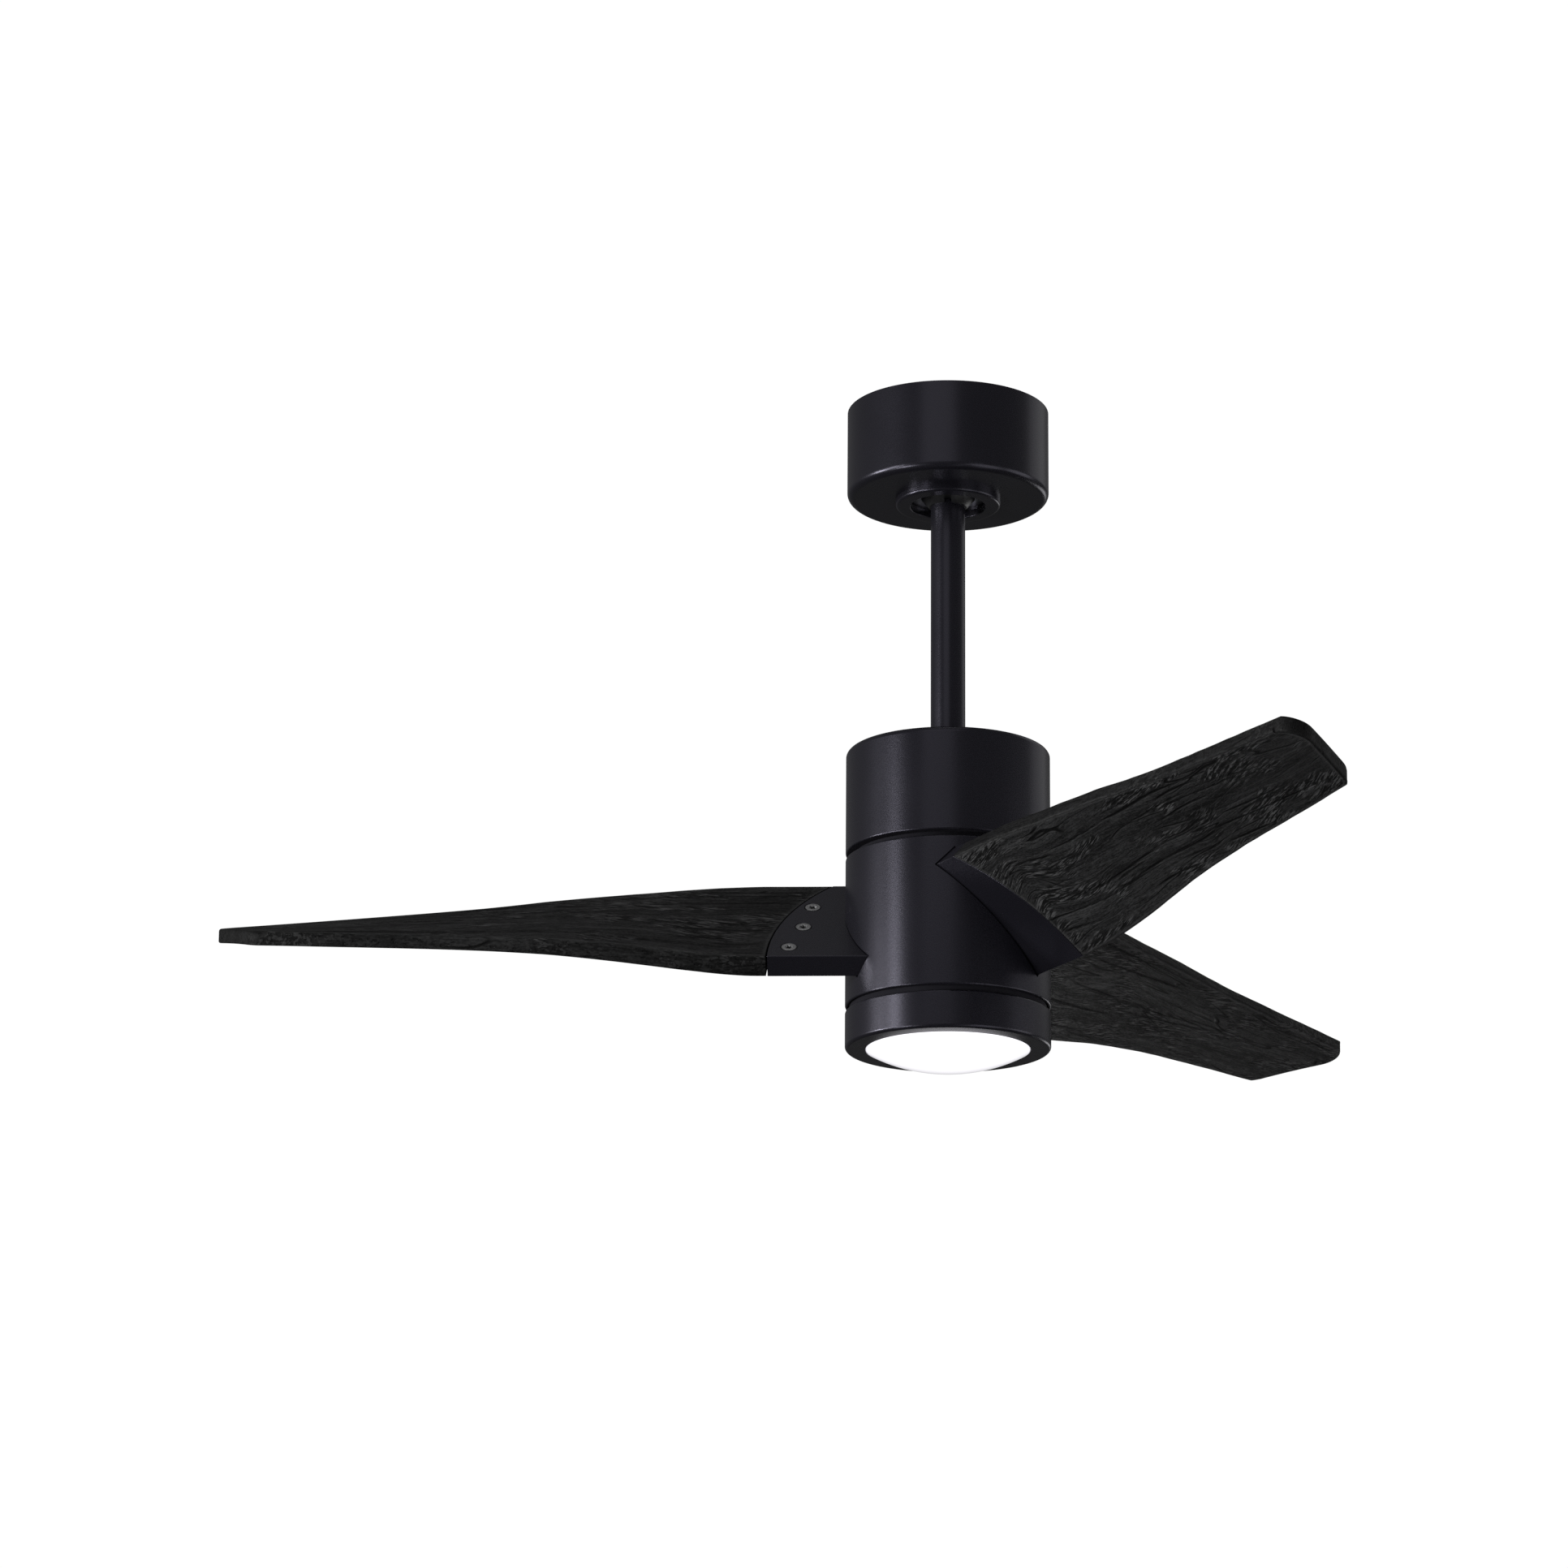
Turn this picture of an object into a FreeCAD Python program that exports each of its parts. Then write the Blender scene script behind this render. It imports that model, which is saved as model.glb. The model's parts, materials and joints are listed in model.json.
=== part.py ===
"""Ceiling fan with light: three twisted wooden blades on a slim drum motor, hung on a short rod.

Millimetres. +Z is up, the origin is the centre of the ceiling face, and the fan hangs below it.
Blade 1 points along -X. Every piece is written to parts/NAME.step.
"""
import FreeCAD, Part
import math
import os

V = FreeCAD.Vector
UP = V(0, 0, 1)

# Driving dimensions.
BODY_R = 74.5                 # canopy, housings and light ring share one radius
SHEET = 1.2                   # pressed steel of the canopy and its trim ring
CAST = 2.0                    # cast walls of the housings
CANOPY_DEPTH = 67.0
TRIM_DEPTH = 5.0
TRIM_OUTER_R = 38.75
TRIM_INNER_R = 27.9
BALL_R = 22.25
BALL_Z = -55.0                # centre of the hanger ball, the pivot of the swing
SEAT_GAP = 0.3                # between the ball and its seat
ROD_R = 12.7
ROD_BORE_R = 10.7
ROD_LENGTH = 254.0
ROD_TOP = -33.0
PIN_R = 3.0
PIN_PLAY = 0.05
HOUSING_TOP = -262.1
GROOVE_1 = -341.3             # centre of the gap between the fixed housing and the rotor
GROOVE_2 = -455.1             # centre of the gap between the rotor and the light
GROOVE_GAP = 4.2
LIP_ROUND = 1.2
RING_BOTTOM = -484.4
LENS_OPENING_R = 59.5
DOME_DEPTH = 14.8
UPPER_SKIRT_OUTER_R = 68.0    # recessed skirts seen as the dark floor of the two grooves
UPPER_SKIRT_INNER_R = 66.2
SKIRT_OUTER_R = 71.3          # the lower one, which stands outside the light's mounting plate
SKIRT_INNER_R = 69.5
SHELL_INNER_R = 72.7

SHAFT_R = 10.0
SHAFT_BORE_R = 7.0
BEARING_R = 21.0
BEARING_WIDTH = 12.0
BEARING_BALL_R = 3.175
BEARING_PITCH_R = 15.5
BEARING_BALLS = 9

PLATE = 3.0                   # thickness of the rotor end plates
ROTOR_TOP = -348.5            # upper face of the top plate
ROTOR_BOTTOM = -445.0         # lower face of the bottom plate
ROTOR_RING_R = 54.0
ROTOR_RING_BORE_R = 50.0
STATOR_MID = -397.0
STATOR_STACK = 22.0
STATOR_R = 46.0
TEETH = 12
MAGNETS = 14

BLADE_ANGLES = (180.0, 300.0, 60.0)
ARM_PITCH = 42.3              # degrees from horizontal; the leading edge is the high one
ARM_CHORD = 108.6
ARM_THICK = 16.5
ARM_OFFSET = 2.5              # the slab's middle, towards the trailing side
ARM_Z = -395.6
ARM_EDGE = 0.8
ARM_RIM_EDGE = 0.5            # smaller rounding along the curved line where the wood begins
ARC_LEADING = 84.4            # where the curved joint meets the leading edge, from the fan's axis
ARC_TRAILING = 128.9
ARC_BULGE = 11.5
TENON_DEPTH = 24.0
TENON_THICK = 6.0
TENON_SIDE = 6.5              # metal left on each side of the tenon
TENON_PLAY = 0.2
BLADE_SCREWS = ((98.5, -20.9), (104.3, 9.3), (113.6, 40.0))   # (from the axis, along the chord)
# Head radius, shank radius and length; the countersinks are a little wider than the heads.
BLADE_SCREW = (5.7, 2.45, 13.5)
BLADE_SCREW_HOLE = (6.3, 2.5, 14.0)
BLADE_EDGE = 1.6

# The blade keeps the arm's section out to BLADE_FREE, then changes evenly towards the tip.
BLADE_FREE = 135.0            # from the fan's axis
SHOULDER_REACH = 240.0        # the root's extra chord and thickness fade out over this length
SHOULDER_CHORD = 17.5
SHOULDER_THICK = 6.0
CHORD_TAPER = 0.05            # per millimetre outwards, as are the twist, sweep and droop
TWIST = 0.071                 # degrees
TWIST_START = 155.0
TWIST_EASE = 20.0             # the twist sets in over this length before and after its start
SWEEP = 0.07                  # towards the leading side
SWEEP_START = 210.0
SWEEP_EASE = 50.0
LIFT = 5.5
LIFT_REACH = 165.0
DROOP = 0.0065
BLADE_STATIONS = (70.0, 100.0, 135.0, 170.0, 210.0, 250.0, 300.0, 350.0, 420.0, 490.0, 560.0)
TIP_LEADING = 548.0           # the tip's two sharp corners before rounding, from the axis
TIP_TRAILING = 503.5
TIP_LEADING_ROUND = 14.0
TIP_TRAILING_ROUND = 20.0
TIP_SIDE = 60.0               # length of the two sides that the tip's rounding starts from
TRIM_MARGIN = 0.3             # the trimming outline stands this far outside the blade's sides


def cylinder(radius, low, high, x=0.0, y=0.0):
    """Upright cylinder between two heights."""
    return Part.makeCylinder(radius, high - low, V(x, y, low))


def tube(outer, inner, low, high):
    """Upright tube between two heights."""
    return cylinder(outer, low, high).cut(cylinder(inner, low - 1, high + 1))


def block(x_low, x_high, y_low, y_high, z_low, z_high):
    """Box between two corners."""
    return Part.makeBox(x_high - x_low, y_high - y_low, z_high - z_low, V(x_low, y_low, z_low))


def turned(outline):
    """Solid of revolution about Z from (radius, height) corners."""
    corners = [V(radius, 0, height) for radius, height in outline]
    face = Part.Face(Part.makePolygon(corners + corners[:1]))
    return face.revolve(V(), UP, 360)


def rounded_rims(shape, size, *rims):
    """Rounds the circular edges named by (radius, height)."""
    edges = []
    for edge in shape.Edges:
        if not isinstance(edge.Curve, Part.Circle):
            continue
        for radius, height in rims:
            same_radius = abs(edge.Curve.Radius - radius) < 0.01
            if same_radius and abs(edge.Curve.Center.z - height) < 0.01:
                edges.append(edge)
    return shape.makeFillet(size, edges)


def turned_about_z(shape, degrees):
    """Copy of a shape, turned about the fan's axis."""
    copy = shape.copy()
    copy.rotate(V(), UP, degrees)
    return copy


def around(shape, count, first=0.0):
    """Equally spaced copies about the fan's axis."""
    return [turned_about_z(shape, first + 360.0 * index / count) for index in range(count)]


def fused(shapes):
    """One solid from touching shapes."""
    return shapes[0].multiFuse(shapes[1:]).removeSplitter()


def cut_all(shape, tools):
    """Shape with every tool cut from it."""
    return shape.cut(Part.makeCompound(tools))


def polar(radius, degrees):
    """(x, y) of a point at a radius and a bearing."""
    angle = math.radians(degrees)
    return radius * math.cos(angle), radius * math.sin(angle)


def cross_recess(size, depth):
    """Cross-shaped driver recess, opening at z = 0."""
    width = 0.24 * size
    bar = block(-size, size, -width, width, -depth, 1.0)
    return fused([bar, turned_about_z(bar, 90)])


def flat_screw(head_r, shank_r, length):
    """Countersunk screw, its flat head at z = 0 and its shank downwards."""
    head_depth = head_r - shank_r
    head = Part.makeCone(shank_r, head_r, head_depth, V(0, 0, -head_depth))
    shank = cylinder(shank_r, -length, -head_depth)
    return fused([head, shank]).cut(cross_recess(0.5 * head_r, 0.7 * head_depth))


def flat_screw_hole(head_r, shank_r, length):
    """Room for a countersunk screw, open above its head."""
    head_depth = head_r - shank_r
    head = Part.makeCone(shank_r, head_r, head_depth, V(0, 0, -head_depth))
    return fused([head, cylinder(shank_r, -length, -head_depth), cylinder(head_r, 0, 1)])


def pan_screw(head_r, head_h, shank_r, length):
    """Pan-head screw, the head's underside at z = 0 and its shank downwards."""
    head = rounded_rims(cylinder(head_r, 0, head_h), 0.45 * head_h, (head_r, head_h))
    recess = cross_recess(0.5 * head_r, 0.6 * head_h)
    recess.translate(V(0, 0, head_h))
    return fused([head, cylinder(shank_r, -length, 0)]).cut(recess)


def placed(shape, x, y, z, upside_down=False):
    """Copy of a screw or other small piece, moved to its place."""
    copy = shape.copy()
    if upside_down:
        copy.rotate(V(), V(1, 0, 0), 180)
    copy.translate(V(x, y, z))
    return copy


def lying_x(radius, x_low, x_high, y, z):
    """Cylinder along X."""
    return Part.makeCylinder(radius, x_high - x_low, V(x_low, y, z), V(1, 0, 0))


def lying_y(radius, y_low, y_high, x, z):
    """Cylinder along Y."""
    return Part.makeCylinder(radius, y_high - y_low, V(x, y_low, z), V(0, 1, 0))


def save(name, shape):
    """Writes one piece, or one group of like pieces, to its own file."""
    if isinstance(shape, list):
        shape = Part.makeCompound(shape)
    if not shape.isValid():
        raise ValueError(name + " is not valid")
    print("%-28s solids %2d  volume %9.0f" % (name, len(shape.Solids), shape.Volume))
    shape.exportStep("parts/" + name + ".step")


# Ceiling side: bracket, canopy, trim ring and receiver.

BRACKET_SHEET = 2.5
BRACKET_LENGTH = 112.0
BRACKET_WIDTH = 40.0
BOX_SCREW_SPACING = 88.9      # ceiling outlet boxes: 3 1/2 inches
BOX_SLOT_R = 2.7
BOX_SLOT_LENGTH = 14.0
LEG_X = 33.5
LEG_HALF_WIDTH = 15.0
SEAT_LOW = -65.7
SEAT_R = 38.0
ROD_SLOT_HALF = 13.9          # the rod enters the seat sideways through this slot
CANOPY_SCREW_R = 33.3
CANOPY_SCREW_ANGLES = (135.0, 315.0)


def upright_slot(half_width, length, x, low, high):
    """Slot along X through a flat plate."""
    reach = length / 2 - half_width
    ends = [cylinder(half_width, low, high, x + side * reach) for side in (-1, 1)]
    return fused(ends + [block(x - reach, x + reach, -half_width, half_width, low, high)])


def hanger_bracket():
    """Pressed ceiling plate, two legs and the open seat that carries the ball."""
    half = BRACKET_LENGTH / 2
    plate = block(-half, half, -BRACKET_WIDTH / 2, BRACKET_WIDTH / 2, -BRACKET_SHEET, 0)
    plate = plate.makeFillet(6.0, [e for e in plate.Edges if abs(e.tangentAt(0).z) > 0.9])
    legs = []
    for inner in (LEG_X, -LEG_X - BRACKET_SHEET):
        outer = inner + BRACKET_SHEET
        legs.append(block(inner, outer, -LEG_HALF_WIDTH, LEG_HALF_WIDTH, SEAT_LOW, -BRACKET_SHEET))
    seat_top = SEAT_LOW + BRACKET_SHEET
    seat = cylinder(SEAT_R, SEAT_LOW, seat_top)
    seat = seat.cut(Part.makeSphere(BALL_R + SEAT_GAP, V(0, 0, BALL_Z)))
    seat = seat.cut(block(-ROD_SLOT_HALF, ROD_SLOT_HALF, 0, SEAT_R + 1, SEAT_LOW - 1, seat_top + 1))
    key = block(-1.7, 1.7, -26.0, -20.4, SEAT_LOW, -58.0)
    whole = fused([plate, seat, key] + legs)
    holes = [lying_x(2.2, -40, 40, 0, -58)]
    for side in (-1, 1):
        x = side * BOX_SCREW_SPACING / 2
        holes.append(upright_slot(BOX_SLOT_R, BOX_SLOT_LENGTH, x, -4, 1))
        holes.append(cylinder(4.5, -4, 1, side * 28.0))
    for angle in CANOPY_SCREW_ANGLES:
        holes.append(cylinder(2.0, SEAT_LOW - 1, seat_top + 1, *polar(CANOPY_SCREW_R, angle)))
    return cut_all(whole, holes)


def canopy():
    """Deep pressed cup against the ceiling, with a round hole for the ball and rod."""
    inner = BODY_R - SHEET
    floor = -CANOPY_DEPTH
    hole = TRIM_INNER_R + SHEET + 0.3
    cup = turned([(inner, 0), (BODY_R, 0), (BODY_R, floor), (hole, floor), (hole, floor + SHEET),
                  (inner, floor + SHEET)])
    cup = rounded_rims(cup, 5.0, (BODY_R, floor))
    cup = rounded_rims(cup, 3.8, (inner, floor + SHEET))
    screw_holes = [cylinder(2.0, floor - 1, floor + 3, *polar(CANOPY_SCREW_R, angle))
                   for angle in CANOPY_SCREW_ANGLES]
    return cut_all(cup, screw_holes)


def canopy_trim_ring():
    """Hollow ring that hides the canopy screws."""
    top = -CANOPY_DEPTH
    low = top - TRIM_DEPTH
    outline = [(TRIM_INNER_R, top), (TRIM_INNER_R, low), (TRIM_OUTER_R, low), (TRIM_OUTER_R, top),
               (TRIM_OUTER_R - SHEET, top), (TRIM_OUTER_R - SHEET, low + SHEET),
               (TRIM_INNER_R + SHEET, low + SHEET), (TRIM_INNER_R + SHEET, top)]
    ring = rounded_rims(turned(outline), 2.0, (TRIM_OUTER_R, low))
    return rounded_rims(ring, 0.5, (TRIM_INNER_R, low))


def canopy_screws():
    """Two screws up through the canopy's floor into the bracket's seat."""
    screw = pan_screw(3.4, 2.2, 1.95, 5.0)
    return [placed(screw, *polar(CANOPY_SCREW_R, angle), -CANOPY_DEPTH, upside_down=True)
            for angle in CANOPY_SCREW_ANGLES]


def receiver_module():
    """Remote receiver, clipped under the ceiling plate above the ball."""
    case = block(-21, 21, -19, 19, -24, -BRACKET_SHEET)
    return case.makeFillet(2.0, [e for e in case.Edges if e.BoundBox.ZMax < -BRACKET_SHEET - 1])


# Hanging side: ball, rod, coupler and their pins.

BALL_PIN_Z = -47.0
COUPLER_PIN_Z = -277.0
COUPLER_R = 18.0
COUPLER_TOP = -266.5
COUPLER_FLANGE_R = 27.0
FLANGE_TOP = -299.0
BRACKET_TOP = -303.0          # upper face of the housing bracket, under the coupler's flange
SHAFT_TOP = -292.0
SHAFT_END = -463.0
ROD_BOTTOM = ROD_TOP - ROD_LENGTH
FLANGE_SCREW_R = 22.5


def hanger_ball():
    """Pierced ball, flat top and bottom, with a keyway so that it can't turn in its seat."""
    ball = Part.makeSphere(BALL_R, V(0, 0, BALL_Z)).common(cylinder(30, -72.5, -38.0))
    keyway = lying_x(24.0, -2.6, 2.6, 0, BALL_Z).cut(lying_x(18.8, -3, 3, 0, BALL_Z))
    keyway = keyway.common(block(-5, 5, -30, 0, -90, 0))
    tools = [cylinder(ROD_R + PIN_PLAY, -80, -30), keyway, lying_x(PIN_R, -30, 30, 0, BALL_PIN_Z)]
    tools.append(lying_y(PIN_R, 0, 30, 0, BALL_Z))
    return cut_all(ball, tools)


def ball_cross_pin():
    """Pin through the ball and the rod."""
    return lying_x(PIN_R - PIN_PLAY, -19, 19, 0, BALL_PIN_Z)


def ball_set_screw():
    """Grub screw through the ball against the rod."""
    screw = lying_y(PIN_R - PIN_PLAY, ROD_R, 20.5, 0, BALL_Z)
    return screw.cut(lying_y(1.5, 17.5, 21, 0, BALL_Z))


def downrod():
    """Steel tube, cross-drilled near both ends."""
    rod = tube(ROD_R, ROD_BORE_R, ROD_BOTTOM, ROD_TOP)
    return cut_all(rod, [lying_x(PIN_R, -20, 20, 0, z) for z in (BALL_PIN_Z, COUPLER_PIN_Z)])


def rod_coupler():
    """Cast collar that takes the rod from above and the motor shaft from below."""
    body = cylinder(COUPLER_R, BRACKET_TOP, COUPLER_TOP)
    body = rounded_rims(body, 1.5, (COUPLER_R, COUPLER_TOP))
    body = fused([body, cylinder(COUPLER_FLANGE_R, BRACKET_TOP, FLANGE_TOP)])
    tools = [cylinder(ROD_R + PIN_PLAY, ROD_BOTTOM - 1, -260)]
    tools.append(cylinder(SHAFT_BORE_R, -310, -280))
    tools.append(cylinder(SHAFT_R, -310, SHAFT_TOP))
    tools.append(lying_x(PIN_R, -25, 25, 0, COUPLER_PIN_Z))
    tools += [lying_y(PIN_R, *sorted((0, side * 25)), 0, COUPLER_PIN_Z - 5) for side in (-1, 1)]
    tools += [cylinder(2.0, -310, -290, *polar(FLANGE_SCREW_R, 90 + 120 * n)) for n in range(3)]
    return cut_all(body, tools)


def coupler_pin():
    """Headed clevis pin through the coupler and the rod, drilled for its clip."""
    shank = lying_x(PIN_R - PIN_PLAY, -COUPLER_R, 25.0, 0, COUPLER_PIN_Z)
    head = lying_x(4.6, -COUPLER_R - 2.5, -COUPLER_R, 0, COUPLER_PIN_Z)
    return fused([shank, head]).cut(cylinder(0.9, -290, -265, 21.5))


def coupler_clip():
    """Hairpin clip through the end of the clevis pin."""
    wire_r = 0.8
    leg = cylinder(wire_r, COUPLER_PIN_Z - 7, COUPLER_PIN_Z + 8, 21.5)
    bow = Part.makeTorus(3.0, wire_r, V(21.5, 3.0, COUPLER_PIN_Z + 8), V(1, 0, 0))
    bow = bow.common(block(15, 30, -6, 12, COUPLER_PIN_Z + 8, COUPLER_PIN_Z + 20))
    outer_leg = cylinder(wire_r, COUPLER_PIN_Z - 5, COUPLER_PIN_Z + 8, 21.5, 6.0)
    return fused([leg, bow, outer_leg])


def coupler_set_screws():
    """Two opposed grub screws that stop the rod from rattling in the coupler."""
    z = COUPLER_PIN_Z - 5
    screws = []
    for side in (-1, 1):
        body = lying_y(PIN_R - PIN_PLAY, *sorted((side * ROD_R, side * 19.5)), 0, z)
        socket = lying_y(1.5, *sorted((side * 16.5, side * 20.0)), 0, z)
        screws.append(body.cut(socket))
    return screws


# Upper housing and the electronics in it.

POST_R = 4.5
POST_RING_R = 50.0
POST_ANGLES = (30.0, 150.0, 270.0)
TOP_PLATE = 3.0
BOARD_TOP = -316.4
BOARD_THICK = 1.6
SPACER_RING_R = 40.0
SPACER_ANGLES = (90.0, 210.0, 330.0)


def housing_bracket():
    """Disc clamped under the coupler, with three posts that carry the upper housing."""
    disc = tube(58.0, SHAFT_R, BRACKET_TOP - 3, BRACKET_TOP)
    posts = [cylinder(POST_R, BRACKET_TOP, HOUSING_TOP - TOP_PLATE, *polar(POST_RING_R, angle))
             for angle in POST_ANGLES]
    tools = [cylinder(1.7, HOUSING_TOP - 16, -260, *polar(POST_RING_R, angle)) for angle in POST_ANGLES]
    tools += [cylinder(2.0, -310, -290, *polar(FLANGE_SCREW_R, 90 + 120 * n)) for n in range(3)]
    tools += [cylinder(1.5, -310, -290, *polar(SPACER_RING_R, angle)) for angle in SPACER_ANGLES]
    return cut_all(fused([disc] + posts), tools)


def bracket_screws():
    """Three screws through the coupler's flange into the housing bracket."""
    screw = pan_screw(3.5, 2.4, 1.95, 7.0)
    return [placed(screw, *polar(FLANGE_SCREW_R, 90 + 120 * n), FLANGE_TOP) for n in range(3)]


def upper_housing():
    """Cup over the coupler and the electronics, with a recessed skirt behind the first groove."""
    lip = GROOVE_1 + GROOVE_GAP / 2
    inner = BODY_R - CAST
    hole = ROD_R + 0.6
    ceiling = HOUSING_TOP - TOP_PLATE
    cup = turned([(hole, HOUSING_TOP), (BODY_R, HOUSING_TOP), (BODY_R, lip),
                  (UPPER_SKIRT_OUTER_R, lip), (UPPER_SKIRT_OUTER_R, lip - 6.0),
                  (UPPER_SKIRT_INNER_R, lip - 6.0), (UPPER_SKIRT_INNER_R, lip + 4.0), (inner, lip + 7.0),
                  (inner, ceiling), (hole, ceiling)])
    cup = rounded_rims(cup, 4.0, (BODY_R, HOUSING_TOP))
    cup = rounded_rims(cup, LIP_ROUND, (BODY_R, lip))
    holes = [placed(flat_screw_hole(3.6, 1.7, 12.0), *polar(POST_RING_R, angle), HOUSING_TOP)
             for angle in POST_ANGLES]
    return cut_all(cup, holes)


def housing_screws():
    """Three countersunk screws from the top of the housing into the posts."""
    screw = flat_screw(3.5, 1.65, 12.0)
    return [placed(screw, *polar(POST_RING_R, angle), HOUSING_TOP) for angle in POST_ANGLES]


def board_spacers():
    """Three sleeves between the bracket and the controller board."""
    sleeve = tube(3.2, 1.5, BOARD_TOP, BRACKET_TOP - 3)
    return [placed(sleeve, *polar(SPACER_RING_R, angle), 0) for angle in SPACER_ANGLES]


def controller_board():
    """Round circuit board that runs the motor and the light."""
    board = tube(56.0, 14.0, BOARD_TOP - BOARD_THICK, BOARD_TOP)
    return cut_all(board, [cylinder(1.5, -330, -310, *polar(SPACER_RING_R, a)) for a in SPACER_ANGLES])


def controller_components():
    """Capacitors, coil, transistors and terminal block under the board."""
    base = BOARD_TOP - BOARD_THICK
    parts = [cylinder(6.0, base - 12.0, base, *polar(30.0, angle)) for angle in (20.0, 50.0)]
    parts.append(placed(tube(9.0, 4.0, base - 8.0, base), *polar(33.0, 280.0), 0))
    for angle in (140.0, 158.0, 176.0, 194.0):
        chip = block(25.0, 35.0, -3.5, 3.5, base - 3.0, base)
        parts.append(turned_about_z(chip, angle))
    terminal = block(24.0, 33.0, -12.0, 12.0, base - 9.0, base)
    parts.append(turned_about_z(terminal, 240.0))
    return parts


# Motor: a fixed wound stator inside a turning can.

BEARING_TOP_Z = ROTOR_TOP - PLATE - BEARING_WIDTH / 2
BEARING_LOW_Z = ROTOR_BOTTOM + PLATE + BEARING_WIDTH / 2
BEARINGS = {"upper": BEARING_TOP_Z, "lower": BEARING_LOW_Z}
PLATE_R = 72.4
CASE_SCREWS = 6
CIRCLIP = 1.2


def motor_shaft():
    """Hollow fixed shaft that carries the stator, both bearings and the light."""
    shaft = tube(SHAFT_R, SHAFT_BORE_R, SHAFT_END, SHAFT_TOP)
    grooves = []
    for low in circlip_heights():
        grooves.append(tube(SHAFT_R + 1, SHAFT_R - 0.6, low, low + CIRCLIP))
    return cut_all(shaft, grooves)


def circlip_heights():
    """Lower faces of the two retaining rings, just outside the bearings."""
    return (BEARING_TOP_Z + BEARING_WIDTH / 2, BEARING_LOW_Z - BEARING_WIDTH / 2 - CIRCLIP)


def shaft_circlips():
    """Split retaining rings in the shaft's grooves."""
    rings = []
    for low in circlip_heights():
        ring = tube(SHAFT_R + 2.2, SHAFT_R - 0.6, low, low + CIRCLIP)
        rings.append(ring.cut(block(-2.5, 2.5, 0, 20, low - 1, low + 3)))
    return rings


def stator_core():
    """Stacked steel plates with twelve T-shaped teeth."""
    low = STATOR_MID - STATOR_STACK / 2
    high = STATOR_MID + STATOR_STACK / 2
    yoke = tube(27.0, SHAFT_R, low, high)
    tooth = block(25.0, 43.0, -3.5, 3.5, low, high)
    tip = tube(STATOR_R, 42.0, low, high)
    slots = [block(40.0, 50.0, -1.5, 1.5, low - 1, high + 1)]
    slots = around(slots[0], TEETH, 180.0 / TEETH)
    return fused([yoke, cut_all(tip, slots)] + around(tooth, TEETH))


def stator_windings():
    """Twelve copper coils, one round each tooth."""
    half_height = STATOR_STACK / 2
    outer = block(28.5, 41.0, -6.6, 6.6, STATOR_MID - half_height - 4, STATOR_MID + half_height + 4)
    outer = outer.makeFillet(2.5, [e for e in outer.Edges if abs(e.tangentAt(0).x) > 0.9])
    core = block(20.0, 50.0, -3.7, 3.7, STATOR_MID - half_height - 0.2, STATOR_MID + half_height + 0.2)
    return around(outer.cut(core), TEETH)


def bearing_race(mid, inner, outer):
    """Bearing ring with a rounded groove for the balls."""
    ring = tube(outer, inner, mid - BEARING_WIDTH / 2, mid + BEARING_WIDTH / 2)
    return ring.cut(Part.makeTorus(BEARING_PITCH_R, BEARING_BALL_R + 0.17, V(0, 0, mid)))


def bearing_balls(mid):
    """Ring of steel balls."""
    ball = Part.makeSphere(BEARING_BALL_R, V(BEARING_PITCH_R, 0, mid))
    return around(ball, BEARING_BALLS)


def bearing_cage(mid):
    """Crown ring that keeps the balls apart."""
    ring = tube(16.9, 14.1, mid + 0.8, mid + 4.4)
    pocket = Part.makeSphere(BEARING_BALL_R + 0.1, V(BEARING_PITCH_R, 0, mid))
    return cut_all(ring, around(pocket, BEARING_BALLS))


def arm_screw_places(bearing):
    """(x, y) of the screws that hold one arm: leading post at the top, trailing post below."""
    radius = math.hypot(ARM_POST[0], ARM_POST[1])
    lead = math.degrees(math.atan2(ARM_POST[1], ARM_POST[0]))
    return polar(radius, bearing - lead), polar(radius, bearing + lead)


def rotor_plate(top_face, boss_side):
    """End plate with a bearing pocket; boss_side is -1 for a pocket below it, +1 above it."""
    inner_face = top_face - PLATE if boss_side < 0 else top_face
    boss_end = inner_face + boss_side * (BEARING_WIDTH + 2.5)
    disc = cylinder(PLATE_R, top_face - PLATE, top_face)
    boss = cylinder(BEARING_R + 4, *sorted((inner_face, boss_end)))
    pocket = cylinder(BEARING_R, *sorted((inner_face, inner_face + boss_side * BEARING_WIDTH)))
    return fused([disc, boss]).cut(pocket).cut(cylinder(18.6, top_face - 40, top_face + 40))


def case_screw_places():
    """(x, y) of the screws round the edge of the motor can."""
    return [polar((ROTOR_RING_R + ROTOR_RING_BORE_R) / 2, 60.0 * n) for n in range(CASE_SCREWS)]


def rotor_top_plate():
    """Upper end plate of the turning can; the arms' leading posts hang from it."""
    holes = [placed(flat_screw_hole(2.8, 1.2, 9), x, y, ROTOR_TOP) for x, y in case_screw_places()]
    for bearing in BLADE_ANGLES:
        x, y = arm_screw_places(bearing)[0]
        holes.append(placed(flat_screw_hole(4.6, 2.1, 10), x, y, ROTOR_TOP))
    return cut_all(rotor_plate(ROTOR_TOP, -1), holes)


def rotor_bottom_plate():
    """Lower end plate of the turning can; the arms' trailing posts stand on it."""
    holes = [placed(flat_screw_hole(2.8, 1.2, 9), x, y, ROTOR_BOTTOM, True)
             for x, y in case_screw_places()]
    for bearing in BLADE_ANGLES:
        x, y = arm_screw_places(bearing)[1]
        holes.append(placed(flat_screw_hole(4.6, 2.1, 10), x, y, ROTOR_BOTTOM, True))
        holes.append(cylinder(1.6, ROTOR_BOTTOM - 1, ROTOR_BOTTOM + 5, *polar(TAB_R, bearing + 60)))
    return cut_all(rotor_plate(ROTOR_BOTTOM + PLATE, 1), holes)


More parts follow.
